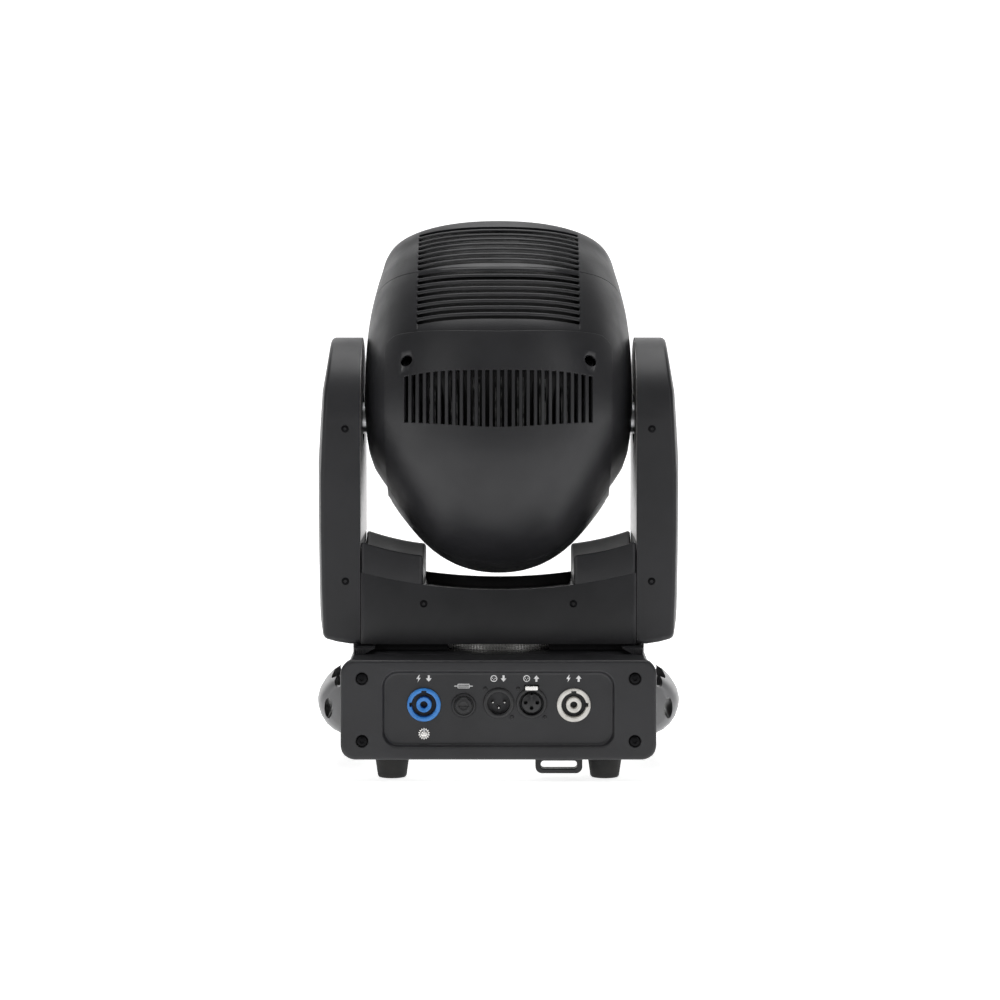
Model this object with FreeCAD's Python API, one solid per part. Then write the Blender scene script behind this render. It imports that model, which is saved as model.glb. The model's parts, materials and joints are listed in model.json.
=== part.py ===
"""A moving head light: a base with connectors, a panning yoke and a tilting lamp head.

Units are millimetres.  +Z is up, +X is to the right seen from the connector side, and the
connector side faces -Y.  The origin is where the pan axis meets the underside of the base.
The head is modelled upright about the tilt axis, with the lens axis along its own +Z, and then
leans forward to its parked angle.
"""
import FreeCAD, Part
import math
import os

V = FreeCAD.Vector

# --- driving dimensions -------------------------------------------------------------------
GAP = 0.4                      # clearance between parts of different moving bodies
WALL = 2.6                     # moulded plastic wall
SHEET = 2.0                    # sheet metal

BASE_W = 234.0
BASE_D = 236.0
BASE_H = 74.4
BASE_CORNER = 9.6
END_PLATE_D = 10.0             # depth of the moulded end plates
PLATFORM_TOP = 79.1            # raised top under the yoke
PLATFORM_HALF_W = 110.0
PLATFORM_HALF_D = 81.0
SHOULDER_HALF_W = 117.0
SHOULDER_Z = 56.6
RECESS_HALF_W = 85.2
RECESS_Z0 = 9.9
RECESS_Z1 = 65.6
RECESS_DEPTH = 4.0
WELL_R = 60.0                  # round well in the platform, round the toothed ring
WELL_Z = 67.0
WELL_HOLE_R = 40.0
SCOOP_R = 106.0                # shallow scoop in the platform's rear edge, 4.6 deep
SCOOP_DEPTH = 4.6
FOOT_H = 16.4
FOOT_X = 79.5
FOOT_Y = 90.0

HANDLE_X = 139.0
HANDLE_HALF_L = 54.0
HANDLE_Z0 = 8.3
HANDLE_Z1 = 56.0
GRIP_T = 12.0
POCKET_X = 103.0               # floor of the finger pocket behind each handle
POCKET_HALF_L = 42.0
POCKET_Z0 = 12.0
POCKET_Z1 = 52.0

DECK_Z = 58.0                  # steel deck that carries the pan bearing
CLAMP_SPACING = 110.0          # square of quarter-turn fastener holes in the underside
CLAMP_HOLE_R = 6.25

YOKE_Z0 = 80.3
TILT_Z = 248.9
ARM_X0 = 103.9                 # inner face of each arm
ARM_X1 = 134.0                 # outer face at its front and rear edges
ARM_CROWN_X = 138.0
ARM_HALF_D = 62.0
INNER_COVER_T = 2.6
BLOCK_X = 57.0                 # inner end of the motor blocks on the crossbar
BAR_TOP_Z = 121.5
BAR_RISE = 13.0                # rise of the concave bar top at the arms
BLOCK_TOP_OUT = 158.5          # height of the block tops where they meet the arms
SWEEP_R_IN = 118.0             # radius about the tilt axis of the hollow block tops, inner and outer
SWEEP_R_OUT = 109.0

PAN_RING_R = 54.0              # fixed toothed ring that the pan belt wraps
PAN_RING_Z1 = 94.0
BEARING_R = 32.0
PAN_MOTOR_X = 82.0
PAN_PULLEY_R = 8.0
SPINDLE_R = 20.0
TILT_PULLEY_R = 32.0
TILT_MOTOR_PULLEY_R = 8.0
TILT_MOTOR_Z = 106.0
AXLE_R = 12.0
FIT = 0.05                     # radial clearance of running fits

PARK_ANGLE = 25.0              # forward lean of the lens axis from vertical
CROWN_SEAM = 76.6              # heights along the lens axis, from the tilt axis
CAP_SEAM = 21.0
HEAD_TOP = 129.0
HEAD_WALL = 3.0
# height along the lens axis, half width, half depth, exponent of the superellipse
HEAD_STATIONS = (
    (129.0, 87.0, 81.5, 2.2),
    (115.0, 91.5, 91.7, 2.2),
    (100.0, 95.0, 100.5, 2.3),
    (76.0, 99.5, 109.5, 2.4),
    (50.0, 102.0, 114.0, 2.5),
    (21.0, 102.8, 115.5, 2.6),
    (0.0, 102.4, 112.0, 2.65),
    (-25.0, 99.0, 106.0, 2.6),
    (-48.0, 88.0, 98.5, 2.5),
    (-71.0, 74.5, 86.5, 2.4),
    (-94.0, 57.5, 67.0, 2.2),
    (-108.0, 43.0, 47.0, 2.0),
    (-115.0, 29.0, 31.0, 2.0),
    (-118.5, 12.0, 13.0, 2.0),
)
SLOT_H = 2.9
SLOT_HALF_W = 61.0
SLOTS_PER_GROUP = 8
CROWN_SLOTS = (82.3, 5.3)       # first slot and pitch of each group
MID_SLOTS = (33.1, 5.6)
CAP_SLOTS = 26
CAP_SLOT_PITCH = 5.5
CAP_SLOT_W = 2.7
CAP_SLOT_Z0 = -47.0
CAP_SLOT_Z1 = -8.0
CAP_SCREW_X = 68.4
CAP_SCREW_Z = 5.0
CAP_SCREW_Y = 91.0             # seat of each cap screw, at the bottom of its socket

CHASSIS_HALF_W = 84.0
LENS_R = 72.0
WHEEL_R = 36.0
WHEEL_OFFSET = 26.0            # wheel centres sit beside the optical axis
COLOUR_WHEEL_Z = 14.0
GOBO_WHEEL_Z = 22.0
FOCUS_Z = 60.0
ROD_X = 44.0

# connector centres on the rear panel: x, z
POWER_IN = (-55.2, 40.8)
FUSE = (-25.8, 40.2)
DATA_IN = (0.2, 42.0)
DATA_OUT = (24.5, 42.0)
POWER_OUT = (55.8, 40.5)
GROUND = (-55.1, 19.2)
LATCH_Z0 = DATA_OUT[1] + 9.6
LATCH_Z1 = DATA_OUT[1] + 13.0
LATCH_HALF_W = 5.0

# --- helpers ------------------------------------------------------------------------------


def box(x0, x1, y0, y1, z0, z1):
    return Part.makeBox(x1 - x0, y1 - y0, z1 - z0, V(x0, y0, z0))


def rod(radius, start, end):
    start, end = V(*start), V(*end)
    return Part.makeCylinder(radius, (end - start).Length, start, end - start)


def ring(outer, inner, start, end):
    return rod(outer, start, end).cut(rod(inner, start, end))


def union(shapes):
    shapes = list(shapes)
    result = shapes[0]
    if len(shapes) > 1:
        result = result.fuse(shapes[1:])
    return result.removeSplitter()


def group(shapes):
    return Part.makeCompound(list(shapes))


def prism(points, direction):
    points = [V(*p) for p in points]
    return Part.Face(Part.makePolygon(points + points[:1])).extrude(V(*direction))


def rounded_plate(half_w, z0, z1, radius, y0, y1):
    """A plate across Y with rounded corners in the XZ plane."""
    plate = box(-half_w, half_w, y0, y1, z0, z1)
    edges = [e for e in plate.Edges if abs(e.tangentAt(e.FirstParameter).y) > 0.99]
    return plate.makeFillet(radius, edges)


def mirrored_x(shape):
    return shape.mirror(V(0, 0, 0), V(1, 0, 0))


def mirrored_y(shape):
    return shape.mirror(V(0, 0, 0), V(0, 1, 0))


def arc_prism_x(points_on_arc, closing_points, y0, y1):
    """A prism along Y whose outline in XZ is one arc closed by straight lines."""
    start, middle, end = [V(x, y0, z) for x, z in points_on_arc]
    edges = [Part.Arc(start, middle, end).toShape()]
    corners = [end] + [V(x, y0, z) for x, z in closing_points] + [start]
    for first, second in zip(corners, corners[1:]):
        edges.append(Part.makeLine(first, second))
    return Part.Face(Part.Wire(edges)).extrude(V(0, y1 - y0, 0))


# --- base ---------------------------------------------------------------------------------


def base_section(inset):
    """The outline of the base between its end plates, half of it mirrored."""
    half = [
        (0, 0),
        (SHOULDER_HALF_W - 6 - inset, 0),
        (SHOULDER_HALF_W - inset, 8),
        (SHOULDER_HALF_W - inset, SHOULDER_Z),
        (PLATFORM_HALF_W - inset, 66.6),
        (PLATFORM_HALF_W - inset, BASE_H - inset),
        (0, BASE_H - inset),
    ]
    left = [(-x, z) for x, z in reversed(half[1:-1])]
    return half + left


def base_cover():
    half_d = BASE_D / 2 - END_PLATE_D
    outer = prism([(x, -half_d, z) for x, z in base_section(0)], (0, 2 * half_d, 0))
    raised = rounded_plate(PLATFORM_HALF_W - 1.0, 60, PLATFORM_TOP, 1.5, -PLATFORM_HALF_D, PLATFORM_HALF_D)
    outer = union([outer, raised])
    inner = prism([(x, -half_d, z) for x, z in base_section(WALL)], (0, 2 * half_d, 0))
    pocket = box(POCKET_X, 200, -POCKET_HALF_L, POCKET_HALF_L, POCKET_Z0, POCKET_Z1)
    pocket_wall = box(POCKET_X - WALL, 200, -POCKET_HALF_L - WALL, POCKET_HALF_L + WALL,
                      POCKET_Z0 - WALL, POCKET_Z1 + WALL)
    inner = inner.cut([pocket_wall, mirrored_x(pocket_wall)])
    well = rod(WELL_R, (0, 0, WELL_Z), (0, 0, 100))
    scoop_z = PLATFORM_TOP + SCOOP_R - SCOOP_DEPTH
    scoop = rod(SCOOP_R, (0, -PLATFORM_HALF_D - 5, scoop_z), (0, -50, scoop_z))
    shell = outer.cut([inner, pocket, mirrored_x(pocket), well, scoop])
    well_wall = ring(WELL_R + WALL, WELL_R, (0, 0, WELL_Z - WALL), (0, 0, BASE_H - WALL))
    well_floor = ring(WELL_R + WALL, WELL_HOLE_R, (0, 0, WELL_Z - WALL), (0, 0, WELL_Z))
    return union([shell, well_wall, well_floor])


def end_plate(side):
    """A moulded end plate with a shallow recess; side is -1 at the rear and 1 at the front."""
    y_out, y_in = side * BASE_D / 2, side * (BASE_D / 2 - END_PLATE_D)
    low, high = min(y_out, y_in), max(y_out, y_in)
    plate = rounded_plate(BASE_W / 2, 0, BASE_H, BASE_CORNER, low, high)
    recess_floor = side * (BASE_D / 2 - RECESS_DEPTH)
    back = side * (BASE_D / 2 - RECESS_DEPTH - WALL)
    recess = rounded_plate(RECESS_HALF_W, RECESS_Z0, RECESS_Z1, BASE_CORNER,
                           min(recess_floor, 2 * y_out), max(recess_floor, 2 * y_out))
    hollow = rounded_plate(RECESS_HALF_W - 1, RECESS_Z0 + 1, RECESS_Z1 - 1, BASE_CORNER,
                           min(back, 0), max(back, 0))
    cuts = [recess, hollow]
    for x in (-101.0, 101.0):
        for z in (14.0, 60.5):
            cuts.append(rod(2.2, (x, low - 1, z), (x, high + 1, z)))
    return plate.cut(cuts)


def latch_room(y0, y1):
    """The slot that the push latch of the data output slides in."""
    x = DATA_OUT[0]
    return box(x - LATCH_HALF_W - GAP, x + LATCH_HALF_W + GAP, y0, y1, LATCH_Z0 - GAP, LATCH_Z1 + GAP)


def rear_panel():
    panel = end_plate(-1)
    y0, y1 = -BASE_D / 2 - 1, -BASE_D / 2 + END_PLATE_D + 1
    cuts = []
    for (x, z), radius in ((POWER_IN, 12.0), (POWER_OUT, 12.0), (FUSE, 8.0),
                           (DATA_IN, 11.0), (DATA_OUT, 11.0), (GROUND, 2.6)):
        cuts.append(rod(radius, (x, y0, z), (x, y1, z)))
    cuts.append(latch_room(y0, y1))
    return panel.cut(cuts)


DISPLAY_X = -30.0
DISPLAY_HALF_W = 32.0
DISPLAY_Z0 = 24.0
DISPLAY_Z1 = 56.0
BUTTON_R = 5.0
BUTTON_PLACES = {"menu": (24.0, 48.0), "up": (44.0, 48.0), "down": (44.0, 30.0), "enter": (24.0, 30.0)}


def front_panel():
    panel = end_plate(1)
    y0, y1 = BASE_D / 2 - END_PLATE_D - 1, BASE_D / 2 + 1
    cuts = [box(DISPLAY_X - DISPLAY_HALF_W, DISPLAY_X + DISPLAY_HALF_W, y0, y1, DISPLAY_Z0, DISPLAY_Z1)]
    for x, z in BUTTON_PLACES.values():
        cuts.append(rod(BUTTON_R + GAP, (x, y0, z), (x, y1, z)))
    return panel.cut(cuts)


def display_window():
    face = BASE_D / 2 - RECESS_DEPTH
    lens = box(DISPLAY_X - DISPLAY_HALF_W, DISPLAY_X + DISPLAY_HALF_W, face - WALL, face, DISPLAY_Z0, DISPLAY_Z1)
    return lens


def display_board():
    face = BASE_D / 2 - RECESS_DEPTH - WALL
    board = box(-68, 60, face - 12.0, face - 10.4, 16, 62)
    screen = box(DISPLAY_X - 30, DISPLAY_X + 30, face - 10.4, face - 1.5, DISPLAY_Z0 + 1, DISPLAY_Z1 - 1)
    switches = []
    for x, z in BUTTON_PLACES.values():
        switches.append(box(x - 3, x + 3, face - 10.4, face - 3.6, z - 3, z + 3))
    return union([board, screen] + switches)


def button(name):
    x, z = BUTTON_PLACES[name]
    face = BASE_D / 2 - RECESS_DEPTH
    cap = rod(BUTTON_R, (x, face - 4.0, z), (x, face + 2.0, z))
    cap = cap.makeFillet(0.8, [e for e in cap.Edges if e.BoundBox.YMin > face + 1.5])
    flange = rod(BUTTON_R + 1.6, (x, face - 4.6, z), (x, face - WALL - 0.6, z))
    return union([cap, flange])


def base_plate():
    half_d = BASE_D / 2 - END_PLATE_D
    half_w = SHOULDER_HALF_W - 6 - WALL - GAP
    plate = box(-half_w, half_w, -half_d, half_d, 0, SHEET)
    cuts = []
    for x in (-CLAMP_SPACING / 2, CLAMP_SPACING / 2):
        for y in (-CLAMP_SPACING / 2, CLAMP_SPACING / 2):
            cuts.append(rod(CLAMP_HOLE_R, (x, y, -1), (x, y, SHEET + 1)))
    return plate.cut(cuts)


def safety_anchor():
    """A folded loop under the base for the safety cable."""
    x0, x1, y0, y1, depth = 27.5, 62.5, -104.0, -92.0, 12.0
    loop = box(x0, x1, y0, y1, -depth, 0)
    corners = [e for e in loop.Edges if abs(e.tangentAt(e.FirstParameter).y) > 0.99 and e.BoundBox.ZMax < -1]
    loop = loop.makeFillet(5.0, corners)
    return loop.cut(box(x0 + 4, x1 - 4, y0 - 1, y1 + 1, -depth + 3.5, -2.5))


def feet():
    shapes = []
    for x in (-FOOT_X, FOOT_X):
        for y in (-FOOT_Y, FOOT_Y):
            foot = Part.makeCone(10.75, 12.85, FOOT_H, V(x, y, -FOOT_H), V(0, 0, 1))
            shapes.append(foot)
    return group(shapes)


def handle():
    """The right-hand grip: a bar carried by two end posts with an eye through each post."""
    top, bottom, back = HANDLE_Z1, HANDLE_Z0, SHOULDER_HALF_W
    outline = [(back, bottom), (back + 8, bottom + 5), (HANDLE_X - 4, 21), (HANDLE_X, 31), (HANDLE_X, 38),
               (HANDLE_X - 4, 47), (back + 10, top - 2), (back, top)]
    body = prism([(x, -HANDLE_HALF_L, z) for x, z in outline], (0, 2 * HANDLE_HALF_L, 0))
    gap = box(0, HANDLE_X - GRIP_T, -POCKET_HALF_L, POCKET_HALF_L, -10, 90)
    eye_x, eye_z, eye_r = HANDLE_X - 11.0, 27.0, 4.0
    eyes = []
    for low, high in ((-70, -POCKET_HALF_L), (POCKET_HALF_L, 70)):
        eyes.append(rod(eye_r, (eye_x, low, eye_z), (eye_x, high, eye_z)))
    return body.cut([gap] + eyes)


def chassis_deck():
    """The steel deck inside the base that carries the pan bearing."""
    half_w = 96.0
    deck = box(-half_w, half_w, -78, 78, DECK_Z, DECK_Z + SHEET)
    leg = box(half_w - SHEET, half_w, -78, 78, SHEET, DECK_Z)
    deck = union([deck, leg, mirrored_x(leg)])
    return deck.cut(rod(SPINDLE_R + 2, (0, 0, 50), (0, 0, 70)))


def pan_bearing():
    return ring(BEARING_R, SPINDLE_R + FIT, (0, 0, DECK_Z + SHEET), (0, 0, 72))


def pan_ring():
    """The fixed toothed ring: the pan belt runs round its upper part, inside the crossbar."""
    body = ring(PAN_RING_R, PAN_RING_R - 8, (0, 0, WELL_Z), (0, 0, PAN_RING_Z1))
    foot = ring(PAN_RING_R, BEARING_R, (0, 0, WELL_Z), (0, 0, WELL_Z + 3))
    return union([body, foot])


def power_supply():
    return box(-88, -30, -70, 70, 6, 44)


# --- connectors ---------------------------------------------------------------------------

PANEL_FACE = -BASE_D / 2 + RECESS_DEPTH


SOCKET_RING_R = 9.2              # inside of the power sockets' outer ring
SOCKET_CORE_R = 5.7
SOCKET_CORE_HOLE_R = 2.8
SOCKET_DEPTH = 19.0              # from the panel face to the floor of the annular gap
SOCKET_RISE = 2.2
NOTCH_HALF_W = 1.9
NOTCH_R = 10.6


def power_socket(place):
    """A locking power socket: a notched ring, a deep annular gap and a hollow core."""
    x, z = place
    front, back = PANEL_FACE - SOCKET_RISE, PANEL_FACE + SOCKET_DEPTH + SHEET
    body = rod(12.0 - FIT, (x, front, z), (x, back, z))
    bead = rod(12.6, (x, front, z), (x, PANEL_FACE, z))
    floor_y = PANEL_FACE + SOCKET_DEPTH
    gap = ring(SOCKET_RING_R, SOCKET_CORE_R, (x, front - 1, z), (x, floor_y, z))
    hole = rod(SOCKET_CORE_HOLE_R, (x, front - 1, z), (x, floor_y, z))
    setback = rod(SOCKET_RING_R, (x, front - 1, z), (x, front + 0.5, z))
    notch = box(x - NOTCH_HALF_W, x + NOTCH_HALF_W, front - 1, floor_y - 6, z + 8.0, z + NOTCH_R)
    return union([body, bead]).cut([gap, hole, setback, notch])


def fuse_holder():
    x, z = FUSE
    body = rod(8.0 - FIT, (x, PANEL_FACE - 1, z), (x, PANEL_FACE + 24, z))
    rim = rod(9.3, (x, PANEL_FACE - 1.6, z), (x, PANEL_FACE, z))
    cap = rod(6.2, (x, PANEL_FACE - 4.2, z), (x, PANEL_FACE - 1.6, z))
    slot = box(x - 4.5, x + 4.5, PANEL_FACE - 5, PANEL_FACE - 2.6, z - 0.8, z + 0.8)
    return union([body, rim, cap]).cut(slot)


def data_flange(place, screw_side):
    x, z = place
    plate = rod(13.2, (x, PANEL_FACE - 1.6, z), (x, PANEL_FACE, z))
    ears = []
    for sign in (-1, 1):
        ex, ez = x + sign * 9.9, z - sign * screw_side * 10.1
        ears.append(rod(3.6, (ex, PANEL_FACE - 1.6, ez), (ex, PANEL_FACE, ez)))
    barrel = rod(11.0 - FIT, (x, PANEL_FACE - 1.6, z), (x, PANEL_FACE + 20, z))
    trim = box(x - 12.0, x + 12.0, PANEL_FACE - 2, PANEL_FACE + 20, z - 13.5, z + 13.5)
    return union([plate, barrel] + ears).common(trim)


def data_input():
    x, z = DATA_IN
    cup = rod(9.6, (x, PANEL_FACE - 3, z), (x, PANEL_FACE + 16, z))
    body = data_flange(DATA_IN, 1).cut(cup)
    pins = []
    for angle in (0, 180, 270):
        px = x + 4.2 * math.cos(math.radians(angle))
        pz = z + 4.2 * math.sin(math.radians(angle))
        pins.append(rod(1.2, (px, PANEL_FACE + 2, pz), (px, PANEL_FACE + 16, pz)))
    return group([body] + pins)


def data_output():
    x, z = DATA_OUT
    groove = ring(9.8, 7.9, (x, PANEL_FACE - 3, z), (x, PANEL_FACE + 12, z))
    holes = [groove]
    for angle in (0, 180, 270):
        px = x + 4.2 * math.cos(math.radians(angle))
        pz = z + 4.2 * math.sin(math.radians(angle))
        holes.append(rod(1.3, (px, PANEL_FACE - 3, pz), (px, PANEL_FACE + 12, pz)))
    room = latch_room(PANEL_FACE - 3, PANEL_FACE + 8)
    return data_flange(DATA_OUT, 1).cut(holes + [room])


def data_latch():
    x = DATA_OUT[0]
    return box(x - LATCH_HALF_W, x + LATCH_HALF_W, PANEL_FACE - 4.0, PANEL_FACE + 4.0, LATCH_Z0, LATCH_Z1)


def screw_head(radius, x, y, z, direction, length=8.0, head_h=2.2):
    """A button head screw; direction points from the head into the material along Y."""
    head = rod(radius, (x, y - direction * head_h, z), (x, y, z))
    shank = rod(radius * 0.45, (x, y, z), (x, y + direction * length, z))
    socket = Part.makeCylinder(radius * 0.4, head_h * 0.6, V(x, y - direction * head_h, z), V(0, direction, 0))
    return union([head, shank]).cut(socket)


def ground_screw():
    x, z = GROUND
    washer = ring(4.25, 2.6, (x, PANEL_FACE - 0.8, z), (x, PANEL_FACE, z))
    screw = screw_head(3.6, x, PANEL_FACE - 0.8, z, 1, 12.0)
    return group([washer, screw])


def end_plate_screws():
    screws = []
    for side in (-1, 1):
        for x in (-101.0, 101.0):
            for z in (14.0, 60.5):
                screws.append(screw_head(4.4, x, side * BASE_D / 2, z, -side, 9.8))
    return group(screws)


# --- yoke ---------------------------------------------------------------------------------


YOKE_SCREW_PLACES = ((-115.5, 243.0), (-115.5, 128.0), (115.5, 243.0), (115.5, 128.0), (-56.5, 111.0), (56.5, 111.0))
YOKE_SCREW_R = 3.0


def screw_holes(half_d):
    holes = []
    for x, z in YOKE_SCREW_PLACES:
        holes.append(rod(YOKE_SCREW_R * 0.45 + 0.1, (x, -half_d - 1, z), (x, half_d + 1, z)))
    return holes


def arm_outline(inset, x0, x1):
    """The side outline of the right arm's solid, with a half-round top."""
    half, z0 = ARM_HALF_D - inset, YOKE_Z0 + inset
    start, top, end = V(x0, half, TILT_Z), V(x0, 0, TILT_Z + half), V(x0, -half, TILT_Z)
    edges = [Part.Arc(start, top, end).toShape()]
    corners = [end, V(x0, -half, z0), V(x0, half, z0), start]
    for first, second in zip(corners, corners[1:]):
        edges.append(Part.makeLine(first, second))
    return Part.Face(Part.Wire(edges)).extrude(V(x1 - x0, 0, 0))


def arm_solid(inset):
    body = arm_outline(inset, ARM_X0, 150)
    front = [(0, YOKE_Z0), (116 - inset, YOKE_Z0), (130 - inset, YOKE_Z0 + 4), (136.2 - inset, YOKE_Z0 + 9),
             (ARM_CROWN_X - inset, 165), (ARM_CROWN_X - inset, 222), (134.5 - inset, 270),
             (128.0 - inset, 308), (124 - inset, 330), (0, 330)]
    face_cut = prism([(x, -80, z) for x, z in front], (0, 160, 0))
    edge_x, crown_x = ARM_X1 - inset, ARM_CROWN_X - inset
    arc = Part.Arc(V(edge_x, -ARM_HALF_D, 0), V(crown_x, 0, 0), V(edge_x, ARM_HALF_D, 0)).toShape()
    lines = [V(edge_x, ARM_HALF_D, 0), V(0, ARM_HALF_D, 0), V(0, -ARM_HALF_D, 0), V(edge_x, -ARM_HALF_D, 0)]
    edges = [arc] + [Part.makeLine(a, b) for a, b in zip(lines, lines[1:])]
    crown = Part.Face(Part.Wire(edges)).extrude(V(0, 0, 400))
    return body.common(face_cut).common(crown)


def arm_cover():
    """The outer cover of the right arm, open on its inner side."""
    inner_cover_room = box(0, ARM_X0 + INNER_COVER_T, -100, 100, BLOCK_TOP_OUT, 400)
    return arm_solid(0).cut([arm_solid(WALL), inner_cover_room] + screw_holes(ARM_HALF_D))


def arm_inner_cover():
    plate = arm_outline(0, ARM_X0, ARM_X0 + INNER_COVER_T)
    plate = plate.cut(box(0, 200, -100, 100, 0, BLOCK_TOP_OUT))
    return plate.cut(rod(AXLE_R + 8, (0, 0, TILT_Z), (200, 0, TILT_Z)))


def arm_plate():
    """The steel plate inside the right arm that carries the tilt bearing."""
    x0 = 110.0
    plate = arm_outline(8, x0, x0 + 3)
    holes = [rod(18, (0, 0, TILT_Z), (200, 0, TILT_Z)), rod(14, (0, 0, TILT_MOTOR_Z), (200, 0, TILT_MOTOR_Z))]
    for z in (165, 205):
        holes.append(rod(13, (0, 0, z), (200, 0, z)))
    return plate.cut(holes)


def block_sweep(inset):
    """The space that the head sweeps above the motor blocks: a turned hollow about the tilt axis."""
    inner_x, outer_x = BLOCK_X - 5, ARM_X0 + 5
    middle_x = (inner_x + outer_x) / 2
    middle_r = (SWEEP_R_IN + SWEEP_R_OUT) / 2 + 1.2 + inset
    start, end = V(inner_x, 0, -SWEEP_R_IN - inset), V(outer_x, 0, -SWEEP_R_OUT - inset)
    edges = [Part.Arc(start, V(middle_x, 0, -middle_r), end).toShape()]
    corners = [end, V(outer_x, 0, 0), V(inner_x, 0, 0), start]
    for first, second in zip(corners, corners[1:]):
        edges.append(Part.makeLine(first, second))
    hollow = Part.Face(Part.Wire(edges)).revolve(V(0, 0, 0), V(1, 0, 0), 360)
    hollow.translate(V(0, 0, TILT_Z))
    return hollow


def crossbar_solid(inset):
    top = arc_prism_x(
        [(-ARM_X0, BAR_TOP_Z + BAR_RISE - inset), (0, BAR_TOP_Z - inset), (ARM_X0, BAR_TOP_Z + BAR_RISE - inset)],
        [(ARM_X0, YOKE_Z0 + inset), (-ARM_X0, YOKE_Z0 + inset)],
        -ARM_HALF_D + inset, ARM_HALF_D - inset)
    block = box(BLOCK_X + inset, ARM_X0, -ARM_HALF_D + inset, ARM_HALF_D - inset, YOKE_Z0 + inset, TILT_Z - 80)
    sweep = block_sweep(inset)
    block = block.cut(sweep)
    return union([top, block, mirrored_x(block)])


def crossbar_cover():
    """The rear cover of the crossbar, from the rear face to the middle."""
    cavity = crossbar_solid(WALL)
    end_room = box(ARM_X0 - 10, ARM_X0 + 1, -ARM_HALF_D + WALL, ARM_HALF_D - WALL, YOKE_Z0 + WALL, 150)
    hole = rod(PAN_RING_R + 3, (0, 0, YOKE_Z0 - 5), (0, 0, YOKE_Z0 + 10))
    shell = crossbar_solid(0).cut([cavity, end_room, mirrored_x(end_room), hole] + screw_holes(ARM_HALF_D))
    return shell.common(box(-ARM_X0, ARM_X0, -ARM_HALF_D, -0.1, 0, 400))


def yoke_frame():
    """The steel bridge between the two arm plates."""
    bridge = box(-110, 110, -50, 50, 97, 100)
    holes = [rod(17, (0, 0, 90), (0, 0, 110)), rod(5, (PAN_MOTOR_X, 0, 90), (PAN_MOTOR_X, 0, 110))]
    window = box(-104, -56, -30, 30, 90, 110)
    return bridge.cut(holes + [window])


def pan_spindle():
    tube = ring(SPINDLE_R, SPINDLE_R - 4, (0, 0, 52), (0, 0, 96.9))
    flange = ring(30, SPINDLE_R - 4, (0, 0, 92), (0, 0, 96.9))
    return union([tube, flange])


def stepper(size, length, shaft_r, shaft_len):
    """A stepper motor with its flange at z = 0, its body below and its shaft above."""
    can = box(-size / 2, size / 2, -size / 2, size / 2, -length, 0)
    edges = [e for e in can.Edges if abs(e.tangentAt(e.FirstParameter).z) > 0.99]
    can = can.makeChamfer(size * 0.08, edges)
    return union([can, rod(shaft_r, (0, 0, 0), (0, 0, shaft_len))])


def pan_motor():
    motor = stepper(38, 27, 2.5, 12)
    motor.rotate(V(0, 0, 0), V(1, 0, 0), 180)
    motor.translate(V(PAN_MOTOR_X, 0, 100))
    return motor


def pan_motor_pulley():
    return ring(PAN_PULLEY_R, 2.5 + FIT, (PAN_MOTOR_X, 0, 85), (PAN_MOTOR_X, 0, 93.5))


def belt(r1, r2, distance, thickness, width, clearance):
    """A belt round two pulleys: the first at the origin, the second up the Y axis."""
    r1, r2 = r1 + clearance, r2 + clearance
    sides = []
    for extra in (0.0, thickness):
        a, b = r1 + extra, r2 + extra
        lean = math.asin((a - b) / distance)
        cx, sx = math.cos(lean), math.sin(lean)
        right = [V(a * cx, a * sx, 0), V(b * cx, distance + b * sx, 0)]
        left = [V(-b * cx, distance + b * sx, 0), V(-a * cx, a * sx, 0)]
        top = Part.Arc(right[1], V(0, distance + b, 0), left[0]).toShape()
        bottom = Part.Arc(left[1], V(0, -a, 0), right[0]).toShape()
        wire = Part.Wire([Part.makeLine(right[0], right[1]), top, Part.makeLine(left[0], left[1]), bottom])
        sides.append(Part.Face(wire).extrude(V(0, 0, width)))
    return sides[1].cut(sides[0])


def pan_belt():
    loop = belt(PAN_RING_R, PAN_PULLEY_R, PAN_MOTOR_X, 1.4, 6.0, GAP)
    loop.rotate(V(0, 0, 0), V(0, 0, 1), -90)
    loop.translate(V(0, 0, 86))
    return loop


def tilt_motor():
    motor = stepper(42, 40, 2.5, 22)
    motor.rotate(V(0, 0, 0), V(0, 1, 0), -90)
    motor.translate(V(-101, 0, TILT_MOTOR_Z))
    return motor


def tilt_motor_pulley():
    return ring(TILT_MOTOR_PULLEY_R, 2.5 + FIT, (-115, 0, TILT_MOTOR_Z), (-123.5, 0, TILT_MOTOR_Z))


def tilt_belt():
    loop = belt(TILT_PULLEY_R, TILT_MOTOR_PULLEY_R, TILT_Z - TILT_MOTOR_Z, 1.4, 6.0, GAP)
    loop.rotate(V(0, 0, 0), V(0, 0, 1), 180)
    loop.rotate(V(0, 0, 0), V(1, 0, 0), 90)
    loop.rotate(V(0, 0, 0), V(0, 0, 1), 90)
    loop.translate(V(-122.5, 0, TILT_Z))
    return loop


def tilt_bearing():
    outer = ring(18.0, AXLE_R + FIT, (109, 0, TILT_Z), (114, 0, TILT_Z))
    return outer


def yoke_screws():
    """Cover screws on the rear and front faces of the arms and crossbar."""
    screws = []
    for side in (-1, 1):
        for x, z in YOKE_SCREW_PLACES:
            screws.append(screw_head(YOKE_SCREW_R, x, side * ARM_HALF_D, z, -side, 6.0, 0.9))
    return group(screws)


# --- head ---------------------------------------------------------------------------------


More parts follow.
